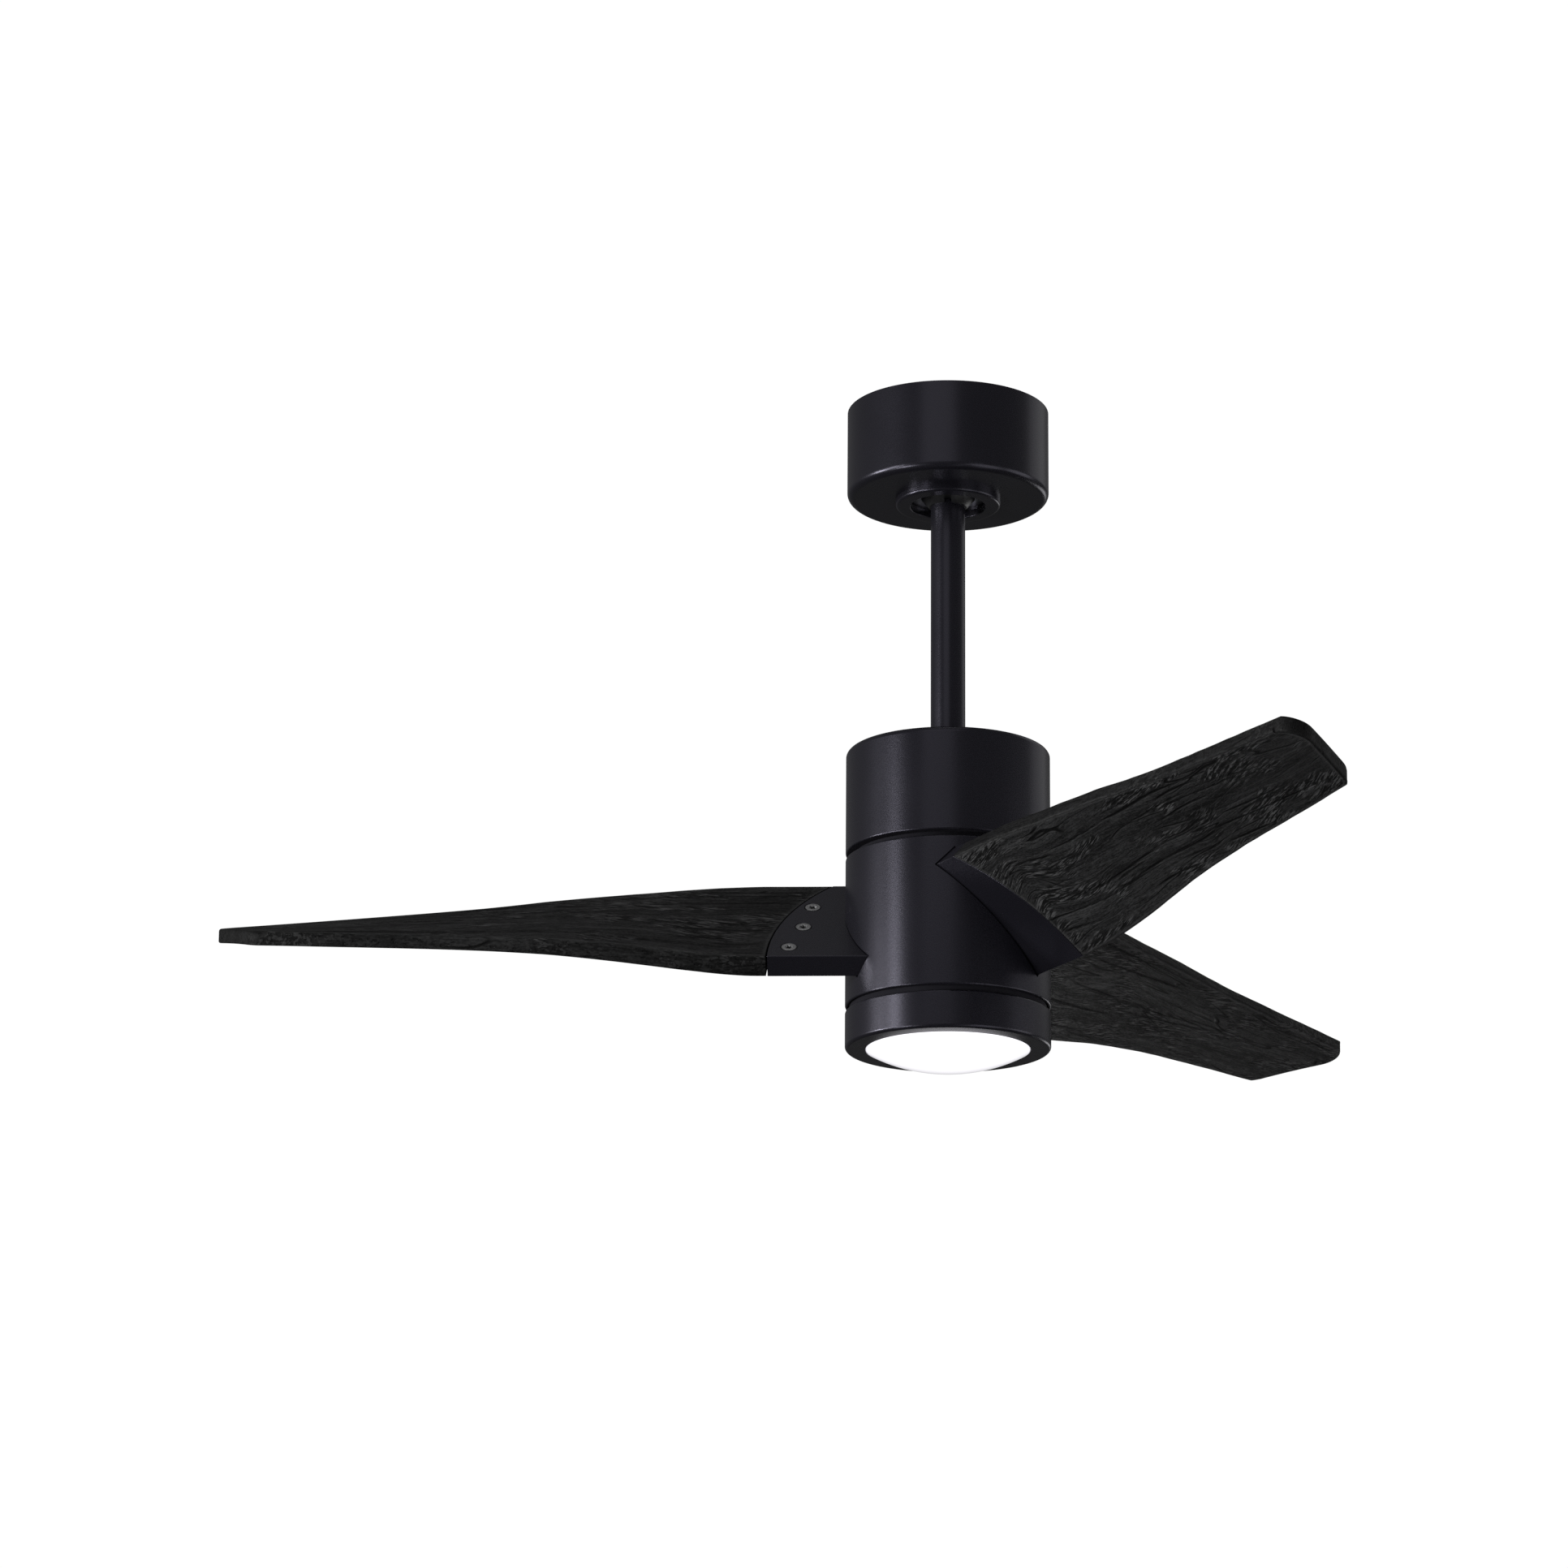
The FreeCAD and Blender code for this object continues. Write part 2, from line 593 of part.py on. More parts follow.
def rotor_ring():
    """Steel ring of the can, the return path behind the magnets."""
    ring = tube(ROTOR_RING_R, ROTOR_RING_BORE_R, ROTOR_BOTTOM + PLATE, ROTOR_TOP - PLATE)
    holes = [cylinder(1.2, ROTOR_TOP - 9, ROTOR_TOP, x, y) for x, y in case_screw_places()]
    holes += [cylinder(1.2, ROTOR_BOTTOM, ROTOR_BOTTOM + 9, x, y) for x, y in case_screw_places()]
    return cut_all(ring, holes)


def rotor_magnets():
    """Curved magnets glued inside the ring."""
    low = STATOR_MID - STATOR_STACK / 2 - 1
    high = STATOR_MID + STATOR_STACK / 2 + 1
    span = 360.0 / MAGNETS - 2.5
    wedge = Part.makeCylinder(ROTOR_RING_BORE_R, high - low, V(0, 0, low), UP, span)
    return around(wedge.cut(cylinder(46.9, low - 1, high + 1)), MAGNETS)


def motor_case_screws():
    """Screws that close the can from above and below."""
    screw = flat_screw(2.7, 1.2, 8.5)
    top = [placed(screw, x, y, ROTOR_TOP) for x, y in case_screw_places()]
    return top + [placed(screw, x, y, ROTOR_BOTTOM, True) for x, y in case_screw_places()]


# Rotor shell, arms and blades.

ARM_POST = (58.0, 33.0)       # (along the arm, to each side) of the posts that bolt to the plates
ARM_POST_R = 5.5
ARM_ROOT_R = ROTOR_RING_R + 0.4
ARM_START = 24.0              # where the flat slab begins, before its root is hollowed round the can
SLOT_PLAY = 0.8               # gap round the arm where it passes through the shell
TAB_R = 65.0


def set_on_pitch(shape):
    """Tips a shape made flat, x along the arm and y along the chord, to the arm's pitch."""
    copy = shape.copy()
    copy.rotate(V(), V(1, 0, 0), -ARM_PITCH)
    copy.translate(V(0, ARM_OFFSET, ARM_Z))
    return copy


def joint_disc(shift, thickness):
    """Round slab, in the flat frame, whose rim is the curved line where metal and wood meet."""
    start = V(ARC_LEADING, -ARM_CHORD / 2, 0)
    end = V(ARC_TRAILING, ARM_CHORD / 2, 0)
    along = (end - start).normalize()
    half = (end - start).Length / 2
    radius = (half ** 2 + ARC_BULGE ** 2) / (2 * ARC_BULGE)
    centre = (start + end) * 0.5 + V(along.y, -along.x, 0) * (ARC_BULGE - radius)
    return Part.makeCylinder(radius, thickness, centre + V(shift, 0, -thickness / 2))


def flat_slab(half_chord, thickness):
    """Straight slab along X in the flat frame."""
    return block(ARM_START, 200.0, -half_chord, half_chord, -thickness / 2, thickness / 2)


def blade_screw_shapes(maker):
    """One arm's three blade screws, or their holes, in the flat frame."""
    return [placed(maker, x, chord, ARM_THICK / 2) for x, chord in BLADE_SCREWS]


def blade_arm():
    """Slanted metal slab with a pocket for the blade's tenon and two bolting posts."""
    slab = flat_slab(ARM_CHORD / 2, ARM_THICK)
    slab = slab.makeFillet(ARM_EDGE, [e for e in slab.Edges if abs(e.tangentAt(0).x) > 0.9])
    slab = slab.common(joint_disc(0, 50.0))
    rim = [e for e in slab.Edges if isinstance(e.Curve, Part.Circle) and e.Curve.Radius > ARM_CHORD / 2]
    slab = slab.makeFillet(ARM_RIM_EDGE, rim)
    pocket = flat_slab(ARM_CHORD / 2 - TENON_SIDE + TENON_PLAY, TENON_THICK + 2 * TENON_PLAY)
    pocket = pocket.cut(joint_disc(-TENON_DEPTH - TENON_PLAY, 50.0))
    slab = cut_all(slab, [pocket] + blade_screw_shapes(flat_screw_hole(*BLADE_SCREW_HOLE)))
    arm = set_on_pitch(slab)
    along, side = ARM_POST
    top_post = cylinder(ARM_POST_R, -366, ROTOR_TOP - PLATE, along, -side)
    low_post = cylinder(ARM_POST_R, ROTOR_BOTTOM + PLATE, -425, along, side)
    arm = fused([arm, top_post, low_post])
    tools = [cylinder(ARM_ROOT_R, -460, -330)]
    tools.append(cylinder(2.1, ROTOR_TOP - 11, -340, along, -side))
    tools.append(cylinder(2.1, -450, ROTOR_BOTTOM + 11, along, side))
    return cut_all(arm, tools)


def eased(distance, start, reach):
    """Rises from 0 at start to 1 after reach, level at both ends."""
    share = min(max((distance - start) / reach, 0.0), 1.0)
    return share ** 2 * (3 - 2 * share)


def ramp(distance, start, ease):
    """0 before start and the distance past it after, the corner between rounded over ease each way."""
    past = min(max(distance - start + ease, 0.0), 2 * ease)
    return past ** 2 / (4 * ease) + max(distance - start - ease, 0.0)


def blade_section(distance):
    """Pitch, chord, thickness, offset to the trailing side and height at a distance from the axis."""
    shoulder = eased(distance, BLADE_FREE, SHOULDER_REACH)
    free = max(distance - BLADE_FREE, 0.0)
    pitch = ARM_PITCH - TWIST * ramp(distance, TWIST_START, TWIST_EASE)
    chord = ARM_CHORD - SHOULDER_CHORD * shoulder - CHORD_TAPER * free
    thickness = ARM_THICK - SHOULDER_THICK * shoulder
    offset = ARM_OFFSET - SWEEP * ramp(distance, SWEEP_START, SWEEP_EASE)
    height = ARM_Z + LIFT * eased(distance, BLADE_FREE, LIFT_REACH) - DROOP * free
    return pitch, chord, thickness, offset, height


def blade_side(distance, side):
    """Seen from above, where the leading (-1) or trailing (1) side is, with the trimming margin."""
    pitch, chord, _, offset, _ = blade_section(distance)
    return V(distance, offset + side * (chord / 2 * math.cos(math.radians(pitch)) + TRIM_MARGIN), 0)


def section_wire(distance):
    """Rounded rectangle across the blade, tilted to its pitch."""
    pitch, chord, thickness, offset, height = blade_section(distance)
    half_c = chord / 2
    half_t = thickness / 2
    r = BLADE_EDGE
    k = r * (1 - math.sqrt(0.5))
    edges = []
    for x_sign, z_sign in ((1, 1), (-1, 1), (-1, -1), (1, -1)):
        first = V(0, x_sign * half_c, z_sign * (half_t - r))
        middle = V(0, x_sign * (half_c - k), z_sign * (half_t - k))
        last = V(0, x_sign * (half_c - r), z_sign * half_t)
        if x_sign * z_sign < 0:
            first, last = last, first
        edges.append((first, middle, last))
    shapes = []
    for index, (first, middle, last) in enumerate(edges):
        shapes.append(Part.Arc(first, middle, last).toShape())
        shapes.append(Part.LineSegment(last, edges[(index + 1) % 4][0]).toShape())
    wire = Part.Wire(shapes)
    wire.rotate(V(), V(1, 0, 0), -pitch)
    wire.translate(V(distance, offset, height))
    return wire


def corner_arc(before, corner, after, radius):
    """Tangent arc that rounds a corner: its first, middle and last points."""
    to_before = (before - corner).normalize()
    to_after = (after - corner).normalize()
    half = to_before.getAngle(to_after) / 2
    bisector = (to_before + to_after).normalize()
    reach = radius / math.tan(half)
    centre = corner + bisector * (radius / math.sin(half))
    return corner + to_before * reach, centre - bisector * radius, corner + to_after * reach


def blade_plan():
    """Upright prism that trims the blade's slanted tip and rounds its two corners."""
    leading = blade_side(TIP_LEADING, -1)
    trailing = blade_side(TIP_TRAILING, 1)
    leading_back = blade_side(TIP_LEADING - TIP_SIDE, -1)
    trailing_back = blade_side(TIP_TRAILING - TIP_SIDE, 1)
    arc_1 = corner_arc(leading_back, leading, trailing, TIP_LEADING_ROUND)
    arc_2 = corner_arc(leading, trailing, trailing_back, TIP_TRAILING_ROUND)
    wide = 150.0
    points = [leading_back, V(leading_back.x, -wide, 0), V(0, -wide, 0), V(0, wide, 0)]
    points += [V(trailing_back.x, wide, 0), trailing_back, arc_2[2]]
    edges = [Part.LineSegment(a, b).toShape() for a, b in zip(points, points[1:])]
    edges.append(Part.Arc(arc_2[2], arc_2[1], arc_2[0]).toShape())
    edges.append(Part.LineSegment(arc_2[0], arc_1[2]).toShape())
    edges.append(Part.Arc(arc_1[2], arc_1[1], arc_1[0]).toShape())
    edges.append(Part.LineSegment(arc_1[0], leading_back).toShape())
    face = Part.Face(Part.Wire(edges))
    face.translate(V(0, 0, -520))
    return face.extrude(V(0, 0, 240))


def blade():
    """Twisted solid-wood blade with a tenon that fits the arm's pocket."""
    body = Part.makeLoft([section_wire(distance) for distance in BLADE_STATIONS], True, False)
    body = body.common(blade_plan())
    body = body.cut(set_on_pitch(joint_disc(TENON_PLAY, 80.0)))
    tenon = flat_slab(ARM_CHORD / 2 - TENON_SIDE, TENON_THICK).common(joint_disc(6.0, 50.0))
    tenon = tenon.cut(joint_disc(-TENON_DEPTH, 50.0))
    whole = fused([body, set_on_pitch(tenon)])
    holes = [set_on_pitch(hole) for hole in blade_screw_shapes(flat_screw_hole(*BLADE_SCREW_HOLE))]
    return cut_all(whole, holes)


def blade_screws():
    """Three countersunk screws from above through each arm and tenon."""
    screws = []
    for bearing in BLADE_ANGLES:
        for screw in blade_screw_shapes(flat_screw(*BLADE_SCREW)):
            screws.append(turned_about_z(set_on_pitch(screw), bearing))
    return screws


def arm_screws():
    """Two countersunk screws per arm, one through each rotor plate."""
    screw = flat_screw(4.5, 2.05, 10.0)
    screws = []
    for bearing in BLADE_ANGLES:
        top, low = arm_screw_places(bearing)
        screws.append(placed(screw, *top, ROTOR_TOP))
        screws.append(placed(screw, *low, ROTOR_BOTTOM, True))
    return screws


def rotor_shell():
    """Turning outer band with three slanted openings for the arms."""
    top = GROOVE_1 - GROOVE_GAP / 2
    low = GROOVE_2 + GROOVE_GAP / 2
    band = turned([(SHELL_INNER_R, top), (BODY_R, top), (BODY_R, low), (SHELL_INNER_R, low)])
    band = rounded_rims(band, LIP_ROUND, (BODY_R, top), (BODY_R, low))
    half_chord = ARM_CHORD / 2 + SLOT_PLAY
    half_thick = ARM_THICK / 2 + SLOT_PLAY
    slot = set_on_pitch(block(30, 95, -half_chord, half_chord, -half_thick, half_thick))
    tab = block(TAB_R - 5, SHELL_INNER_R + 0.6, -6, 6, ROTOR_BOTTOM - 2.5, ROTOR_BOTTOM)
    tab = tab.cut(cylinder(1.7, -460, -440, TAB_R))
    tabs = [turned_about_z(tab, bearing + 60) for bearing in BLADE_ANGLES]
    band = cut_all(band, [turned_about_z(slot, bearing) for bearing in BLADE_ANGLES])
    return fused([band] + tabs)


def shell_screws():
    """Three screws from below that hold the shell's tabs to the bottom plate."""
    screw = pan_screw(3.0, 1.8, 1.55, 5.0)
    return [placed(screw, *polar(TAB_R, bearing + 60), ROTOR_BOTTOM - 2.5, True)
            for bearing in BLADE_ANGLES]


# Light.

MOUNT_TOP = -456.0
MOUNT_PLATE = 2.0
FLANGE = 3.0                  # bottom flange of the light ring
BOSS_RING_R = 66.5
BOSS_ANGLES = (0.0, 120.0, 240.0)
BOSS_LOW = -474.0
GASKET = 0.6
LENS_WALL = 2.2
LENS_FLANGE_R = 63.0
LENS_FLANGE = 2.4
LENS_SCREW_RING_R = 64.4
HEAT_SINK_TOP = -464.2
LED_RINGS = ((14.0, 6), (28.0, 12), (42.0, 18))


def light_mounting_plate():
    """Steel disc on the end of the shaft that carries the whole light."""
    plate = tube(SKIRT_INNER_R - 0.3, SHAFT_R + 0.05, MOUNT_TOP - MOUNT_PLATE, MOUNT_TOP)
    return cut_all(plate, [cylinder(1.6, -470, -450, *polar(BOSS_RING_R, a)) for a in BOSS_ANGLES])


def shaft_nut():
    """Hexagon nut under the mounting plate."""
    corners = [V(*polar(15.0, 60.0 * n), SHAFT_END + 0.5) for n in range(7)]
    prism = Part.Face(Part.makePolygon(corners)).extrude(V(0, 0, MOUNT_TOP - MOUNT_PLATE - SHAFT_END - 0.5))
    return prism.cut(cylinder(SHAFT_R, -480, -440))


def light_ring():
    """Fixed ring round the light, with a recessed skirt behind the second groove."""
    lip = GROOVE_2 - GROOVE_GAP / 2
    inner = BODY_R - CAST
    shelf = RING_BOTTOM + FLANGE
    ring = turned([(LENS_OPENING_R, RING_BOTTOM), (BODY_R, RING_BOTTOM), (BODY_R, lip),
                   (SKIRT_OUTER_R, lip), (SKIRT_OUTER_R, lip + 6.0),
                   (SKIRT_INNER_R, lip + 6.0), (SKIRT_INNER_R, lip - 3.0), (inner, lip - 5.0),
                   (inner, shelf), (LENS_OPENING_R, shelf)])
    ring = rounded_rims(ring, 2.4, (BODY_R, RING_BOTTOM))
    ring = rounded_rims(ring, LIP_ROUND, (BODY_R, lip))
    ring = rounded_rims(ring, 0.5, (LENS_OPENING_R, RING_BOTTOM))
    boss_top = MOUNT_TOP - MOUNT_PLATE
    bosses = []
    holes = []
    for angle in BOSS_ANGLES:
        x, y = polar(BOSS_RING_R, angle)
        bosses.append(cylinder(4.5, BOSS_LOW, boss_top, x, y))
        bosses.append(turned_about_z(block(66, 73, -1.5, 1.5, BOSS_LOW, -466), angle))
        holes.append(cylinder(1.6, BOSS_LOW - 1, boss_top + 1, x, y))
    return cut_all(fused([ring] + bosses), holes)


def light_ring_screws():
    """Three screws up through the ring's bosses into the mounting plate."""
    screw = pan_screw(3.2, 2.0, 1.55, MOUNT_TOP - BOSS_LOW)
    return [placed(screw, *polar(BOSS_RING_R, angle), BOSS_LOW, True) for angle in BOSS_ANGLES]


def heat_sink():
    """Aluminium disc with radial fins above the lamps."""
    fin_top = MOUNT_TOP - MOUNT_PLATE - 0.4
    disc = tube(58.0, 17.0, HEAT_SINK_TOP - 3.5, HEAT_SINK_TOP)
    fin = block(20.0, 56.0, -0.9, 0.9, HEAT_SINK_TOP - 0.5, fin_top)
    return fused([disc] + around(fin, 24, 7.5))


def led_board():
    """Round aluminium-backed board under the heat sink."""
    top = HEAT_SINK_TOP - 3.5
    return cylinder(50.0, top - 1.6, top)


def led_chips():
    """Rings of square lamps on the board's underside."""
    top = HEAT_SINK_TOP - 3.5 - 1.6
    chips = []
    for radius, count in LED_RINGS:
        chip = block(radius - 1.5, radius + 1.5, -1.5, 1.5, top - 0.8, top)
        chips += around(chip, count)
    return chips


def lens_gasket():
    """Flat seal between the lens and the ring's shelf."""
    shelf = RING_BOTTOM + FLANGE
    return tube(LENS_FLANGE_R, LENS_OPENING_R + 0.4, shelf, shelf + GASKET)


def dome(outer_r, inset):
    """Ball whose cap fills the opening of the given radius; inset makes it smaller, for the hollow."""
    sphere_r = (outer_r ** 2 + DOME_DEPTH ** 2) / (2 * DOME_DEPTH)
    return Part.makeSphere(sphere_r - inset, V(0, 0, RING_BOTTOM - DOME_DEPTH + sphere_r))


def lens():
    """Shallow opal dome with a flange that rests inside the ring."""
    outer_r = LENS_OPENING_R - 0.4
    seat = RING_BOTTOM + FLANGE + GASKET
    outer = cylinder(outer_r, RING_BOTTOM - DOME_DEPTH - 1, seat + LENS_FLANGE).common(dome(outer_r, 0.0))
    flange = tube(LENS_FLANGE_R, outer_r - 1.0, seat, seat + LENS_FLANGE)
    hollow = cylinder(outer_r - LENS_WALL, -510, seat + 3).common(dome(outer_r, LENS_WALL))
    return fused([outer, flange]).cut(hollow)


def lens_retainer_ring():
    """Thin ring that clamps the lens flange down on its gasket."""
    low = RING_BOTTOM + FLANGE + GASKET + LENS_FLANGE
    holes = [cylinder(1.3, -490, -470, *polar(LENS_SCREW_RING_R, 60 + 120 * n)) for n in range(3)]
    return cut_all(tube(66.0, 55.5, low, low + 1.2), holes)


def lens_screws():
    """Three small screws through the retainer into the ring's shelf."""
    low = RING_BOTTOM + FLANGE + GASKET + LENS_FLANGE
    screw = pan_screw(2.2, 1.2, 1.2, 3.6)
    return [placed(screw, *polar(LENS_SCREW_RING_R, 60 + 120 * n), low + 1.2) for n in range(3)]


def supply_leads():
    """Four insulated leads straight down the rod and the hollow shaft, clear of both pins."""
    lead_r = 1.1
    places = [(x, side * 4.6) for side in (-1, 1) for x in (-1.3, 1.3)]
    return [cylinder(lead_r, SHAFT_END + 1, ROD_TOP - 2, x, y) for x, y in places]


def main():
    """Writes every piece."""
    os.makedirs("parts", exist_ok=True)
    makers = (hanger_bracket, canopy, canopy_trim_ring, canopy_screws, receiver_module, hanger_ball,
              ball_cross_pin, ball_set_screw, downrod, rod_coupler, coupler_pin, coupler_clip,
              coupler_set_screws, housing_bracket, bracket_screws, upper_housing, housing_screws,
              board_spacers, controller_board, controller_components, motor_shaft, shaft_circlips,
              stator_core, stator_windings, rotor_top_plate, rotor_bottom_plate, rotor_ring,
              rotor_magnets, motor_case_screws, blade_screws, arm_screws, rotor_shell, shell_screws,
              light_mounting_plate, shaft_nut, light_ring, light_ring_screws, heat_sink, led_board,
              led_chips, lens_gasket, lens, lens_retainer_ring, lens_screws, supply_leads)
    for maker in makers:
        save(maker.__name__, maker())
    for name, mid in BEARINGS.items():
        save(name + "_bearing_inner_race", bearing_race(mid, SHAFT_R, 13.0))
        save(name + "_bearing_outer_race", bearing_race(mid, 18.0, BEARING_R))
        save(name + "_bearing_balls", bearing_balls(mid))
        save(name + "_bearing_cage", bearing_cage(mid))
    arm = blade_arm()
    wood = blade()
    for number, bearing in enumerate(BLADE_ANGLES, 1):
        save("blade_arm_%d" % number, turned_about_z(arm, bearing))
        save("blade_%d" % number, turned_about_z(wood, bearing))


main()
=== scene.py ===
"""Looks of a black ceiling fan with a light: painted metal, hand-scraped wooden blades, opal lens."""

import json
import math

import bpy
import numpy as np
from mathutils import Matrix, Vector


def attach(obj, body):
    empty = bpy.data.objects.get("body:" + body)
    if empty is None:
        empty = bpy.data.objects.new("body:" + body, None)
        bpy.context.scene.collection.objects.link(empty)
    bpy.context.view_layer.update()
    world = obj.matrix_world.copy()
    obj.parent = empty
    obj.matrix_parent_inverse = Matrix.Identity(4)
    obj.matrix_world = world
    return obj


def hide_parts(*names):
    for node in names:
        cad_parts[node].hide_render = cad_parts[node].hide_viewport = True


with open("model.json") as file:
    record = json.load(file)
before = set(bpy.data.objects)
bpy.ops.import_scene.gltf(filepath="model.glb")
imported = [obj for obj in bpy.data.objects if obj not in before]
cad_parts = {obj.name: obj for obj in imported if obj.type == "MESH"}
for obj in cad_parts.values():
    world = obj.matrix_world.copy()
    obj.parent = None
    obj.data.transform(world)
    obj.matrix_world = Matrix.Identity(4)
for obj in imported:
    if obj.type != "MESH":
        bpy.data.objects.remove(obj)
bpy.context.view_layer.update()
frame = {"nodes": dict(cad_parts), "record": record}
scene = bpy.context.scene
nodes = frame["nodes"]
slot_of = {part["node"]: part["material_slot"] for part in frame["record"]["subparts"]}
MM = 0.001

# Camera and studio, lengths in metres, in the frame of the fan (z = 0 at the ceiling).

CAMERA_DISTANCE = 3.7100
CAMERA_HEIGHT = -1.3404
CAMERA_TURN = math.radians(0.81)      # how far the camera stands round from straight in front
CAMERA_TILT = math.radians(13.69)     # upwards
CAMERA_LENS = 121.2                   # in millimetres, like the sensor
SENSOR_WIDTH = 36.0
CAMERA_SHIFT = (-0.1046, 0.1289)      # shares of the sensor's width
SIGHT = 60.0                          # how far the camera sees
FLOOR_HEIGHT = -5.6                   # low enough to stay under a camera that looks from below
FLOOR_RADIUS = 6.0
COVE_RADIUS = 3.0
COVE_STEPS = 12
WALL_HEIGHT = 9.0
ROOF_HEIGHT = 9.5
STUDIO_SIDES = 96
PAPER_GLOW = 1.02


def make_camera():
    """Camera below the fan, a little to one side, looking up."""
    data = bpy.data.cameras.new("camera")
    data.lens = CAMERA_LENS
    data.sensor_width = SENSOR_WIDTH
    data.shift_x, data.shift_y = CAMERA_SHIFT
    data.clip_end = SIGHT
    camera = bpy.data.objects.new("camera", data)
    scene.collection.objects.link(camera)
    turn = Matrix.Rotation(CAMERA_TURN, 4, "Z")
    tilt = Matrix.Rotation(math.pi / 2 + CAMERA_TILT, 4, "X")
    place = Matrix.Translation((0, -CAMERA_DISTANCE, CAMERA_HEIGHT))
    camera.matrix_world = turn @ place @ tilt
    scene.camera = camera


def area_light(name, place, target, size, power):
    """Rectangular soft light aimed at a point."""
    data = bpy.data.lights.new(name, "AREA")
    data.shape = "RECTANGLE"
    data.size, data.size_y = size
    data.energy = power
    light = bpy.data.objects.new(name, data)
    scene.collection.objects.link(light)
    aim = Vector(target) - Vector(place)
    light.rotation_euler = aim.to_track_quat("-Z", "Y").to_euler()
    light.location = place


class Look:
    """One procedural material and short-hand for its nodes."""

    def __init__(self, name):
        self.material = bpy.data.materials.new(name)
        self.material.use_nodes = True
        self.tree = self.material.node_tree
        self.shader = self.tree.nodes["Principled BSDF"]

    def set(self, **values):
        """Sets the shader's own sockets; underscores stand for spaces."""
        for name, value in values.items():
            self.shader.inputs[name.replace("_", " ")].default_value = value

    def plug(self, source, name):
        """Links an output to one of the shader's sockets."""
        self.tree.links.new(source, self.shader.inputs[name])

    def node(self, kind, sources=(), **settings):
        """New node; sources are (input, output or number) pairs."""
        made = self.tree.nodes.new(kind)
        for name, value in settings.items():
            setattr(made, name, value)
        for name, value in sources:
            if isinstance(value, bpy.types.NodeSocket):
                self.tree.links.new(value, made.inputs[name])
            else:
                made.inputs[name].default_value = value
        return made

    def place(self):
        """Position in the fan's own frame, in metres."""
        return self.node("ShaderNodeTexCoord").outputs["Object"]

    def attribute(self, name, output="Fac"):
        """Value that the mesh carries under a name."""
        return self.node("ShaderNodeAttribute", attribute_name=name).outputs[output]

    def stretched(self, vector, scale, turn=(0, 0, 0), shift=(0, 0, 0)):
        """Coordinates turned and shifted, then scaled."""
        turned = self.node("ShaderNodeMapping",
                           [("Vector", vector), ("Rotation", turn), ("Location", shift)])
        scaled = self.node("ShaderNodeMapping", [("Vector", turned.outputs[0]), ("Scale", scale)])
        return scaled.outputs[0]

    def noise(self, vector, scale, detail=2.0, roughness=0.5):
        """Cloudy noise from 0 to 1."""
        made = self.node("ShaderNodeTexNoise", [("Vector", vector), ("Scale", scale),
                                                ("Detail", detail), ("Roughness", roughness)])
        return made.outputs["Fac"]

    def math(self, operation, first, second=0.5, third=0.5):
        """One sum, product or other operation on two or three values."""
        made = self.node("ShaderNodeMath", [(0, first), (1, second), (2, third)], operation=operation)
        return made.outputs[0]

    def spread(self, value, low, high, out_low=0.0, out_high=1.0, smooth=True):
        """Maps one range to another, clamped."""
        kind = "SMOOTHSTEP" if smooth else "LINEAR"
        made = self.node("ShaderNodeMapRange", [("Value", value), ("From Min", low), ("From Max", high),
                                                ("To Min", out_low), ("To Max", out_high)],
                         interpolation_type=kind)
        return made.outputs["Result"]

    def colours(self, value, stops):
        """Colour ramp from (position, colour) stops."""
        made = self.node("ShaderNodeValToRGB", [("Fac", value)])
        ramp = made.color_ramp
        while len(ramp.elements) < len(stops):
            ramp.elements.new(0.5)
        for element, (position, colour) in zip(ramp.elements, stops):
            element.position = position
            element.color = (*colour, 1)
        return made.outputs["Color"]

    def mixed(self, share, first, second):
        """Blend of two colours, each an output or a colour."""
        made = self.node("ShaderNodeMix", data_type="RGBA")
        sockets = (made.inputs["Factor"], made.inputs[6], made.inputs[7])
        for socket, value in zip(sockets, (share, first, second)):
            if isinstance(value, bpy.types.NodeSocket):
                self.tree.links.new(value, socket)
            elif isinstance(value, tuple):
                socket.default_value = (*value, 1)
            else:
                socket.default_value = value
        return made.outputs[2]

    def bumps(self, height, distance, strength=1.0):
        """Bends the shader's normal by a height; a height of 1 counts as the distance, in metres."""
        made = self.node("ShaderNodeBump",
                         [("Height", height), ("Distance", distance), ("Strength", strength)])
        self.plug(made.outputs[0], "Normal")


def make_stage():
    """Glowing round floor, wall and roof in one, which light nothing and cast no shadow."""
    outline = [(0.0, FLOOR_HEIGHT), (FLOOR_RADIUS, FLOOR_HEIGHT)]
    for step in range(1, COVE_STEPS + 1):
        angle = math.pi / 2 * step / COVE_STEPS
        outline.append((FLOOR_RADIUS + COVE_RADIUS * math.sin(angle),
                        FLOOR_HEIGHT + COVE_RADIUS * (1 - math.cos(angle))))
    outline.append((FLOOR_RADIUS + COVE_RADIUS, WALL_HEIGHT))
    outline.append((0.0, ROOF_HEIGHT))
    studio = turned_piece("studio", outline, STUDIO_SIDES)
    look = Look("studio_paper")
    look.set(Base_Color=(0, 0, 0, 1), Emission_Color=(1, 1, 1, 1), Emission_Strength=PAPER_GLOW,
             Specular_IOR_Level=0.0)
    studio.data.materials.append(look.material)
    studio.visible_diffuse = False
    studio.visible_glossy = False
    studio.visible_shadow = False


# The air's strength goes from the first AIR_GLOW to the second while the upward part of a
# direction crosses AIR_RISE.
AIR_RISE = (-0.35, 0.15)
AIR_GLOW = (0.045, 0.11)
LIGHT_MIDDLE = Vector((0, 0, -0.35))
LIGHT_DISTANCE = 3.2
SMALL_LIGHT = (0.7, 0.7)
LARGE_LIGHT = (0.95, 1.15)
BROAD_LIGHT = (2.0, 2.0)
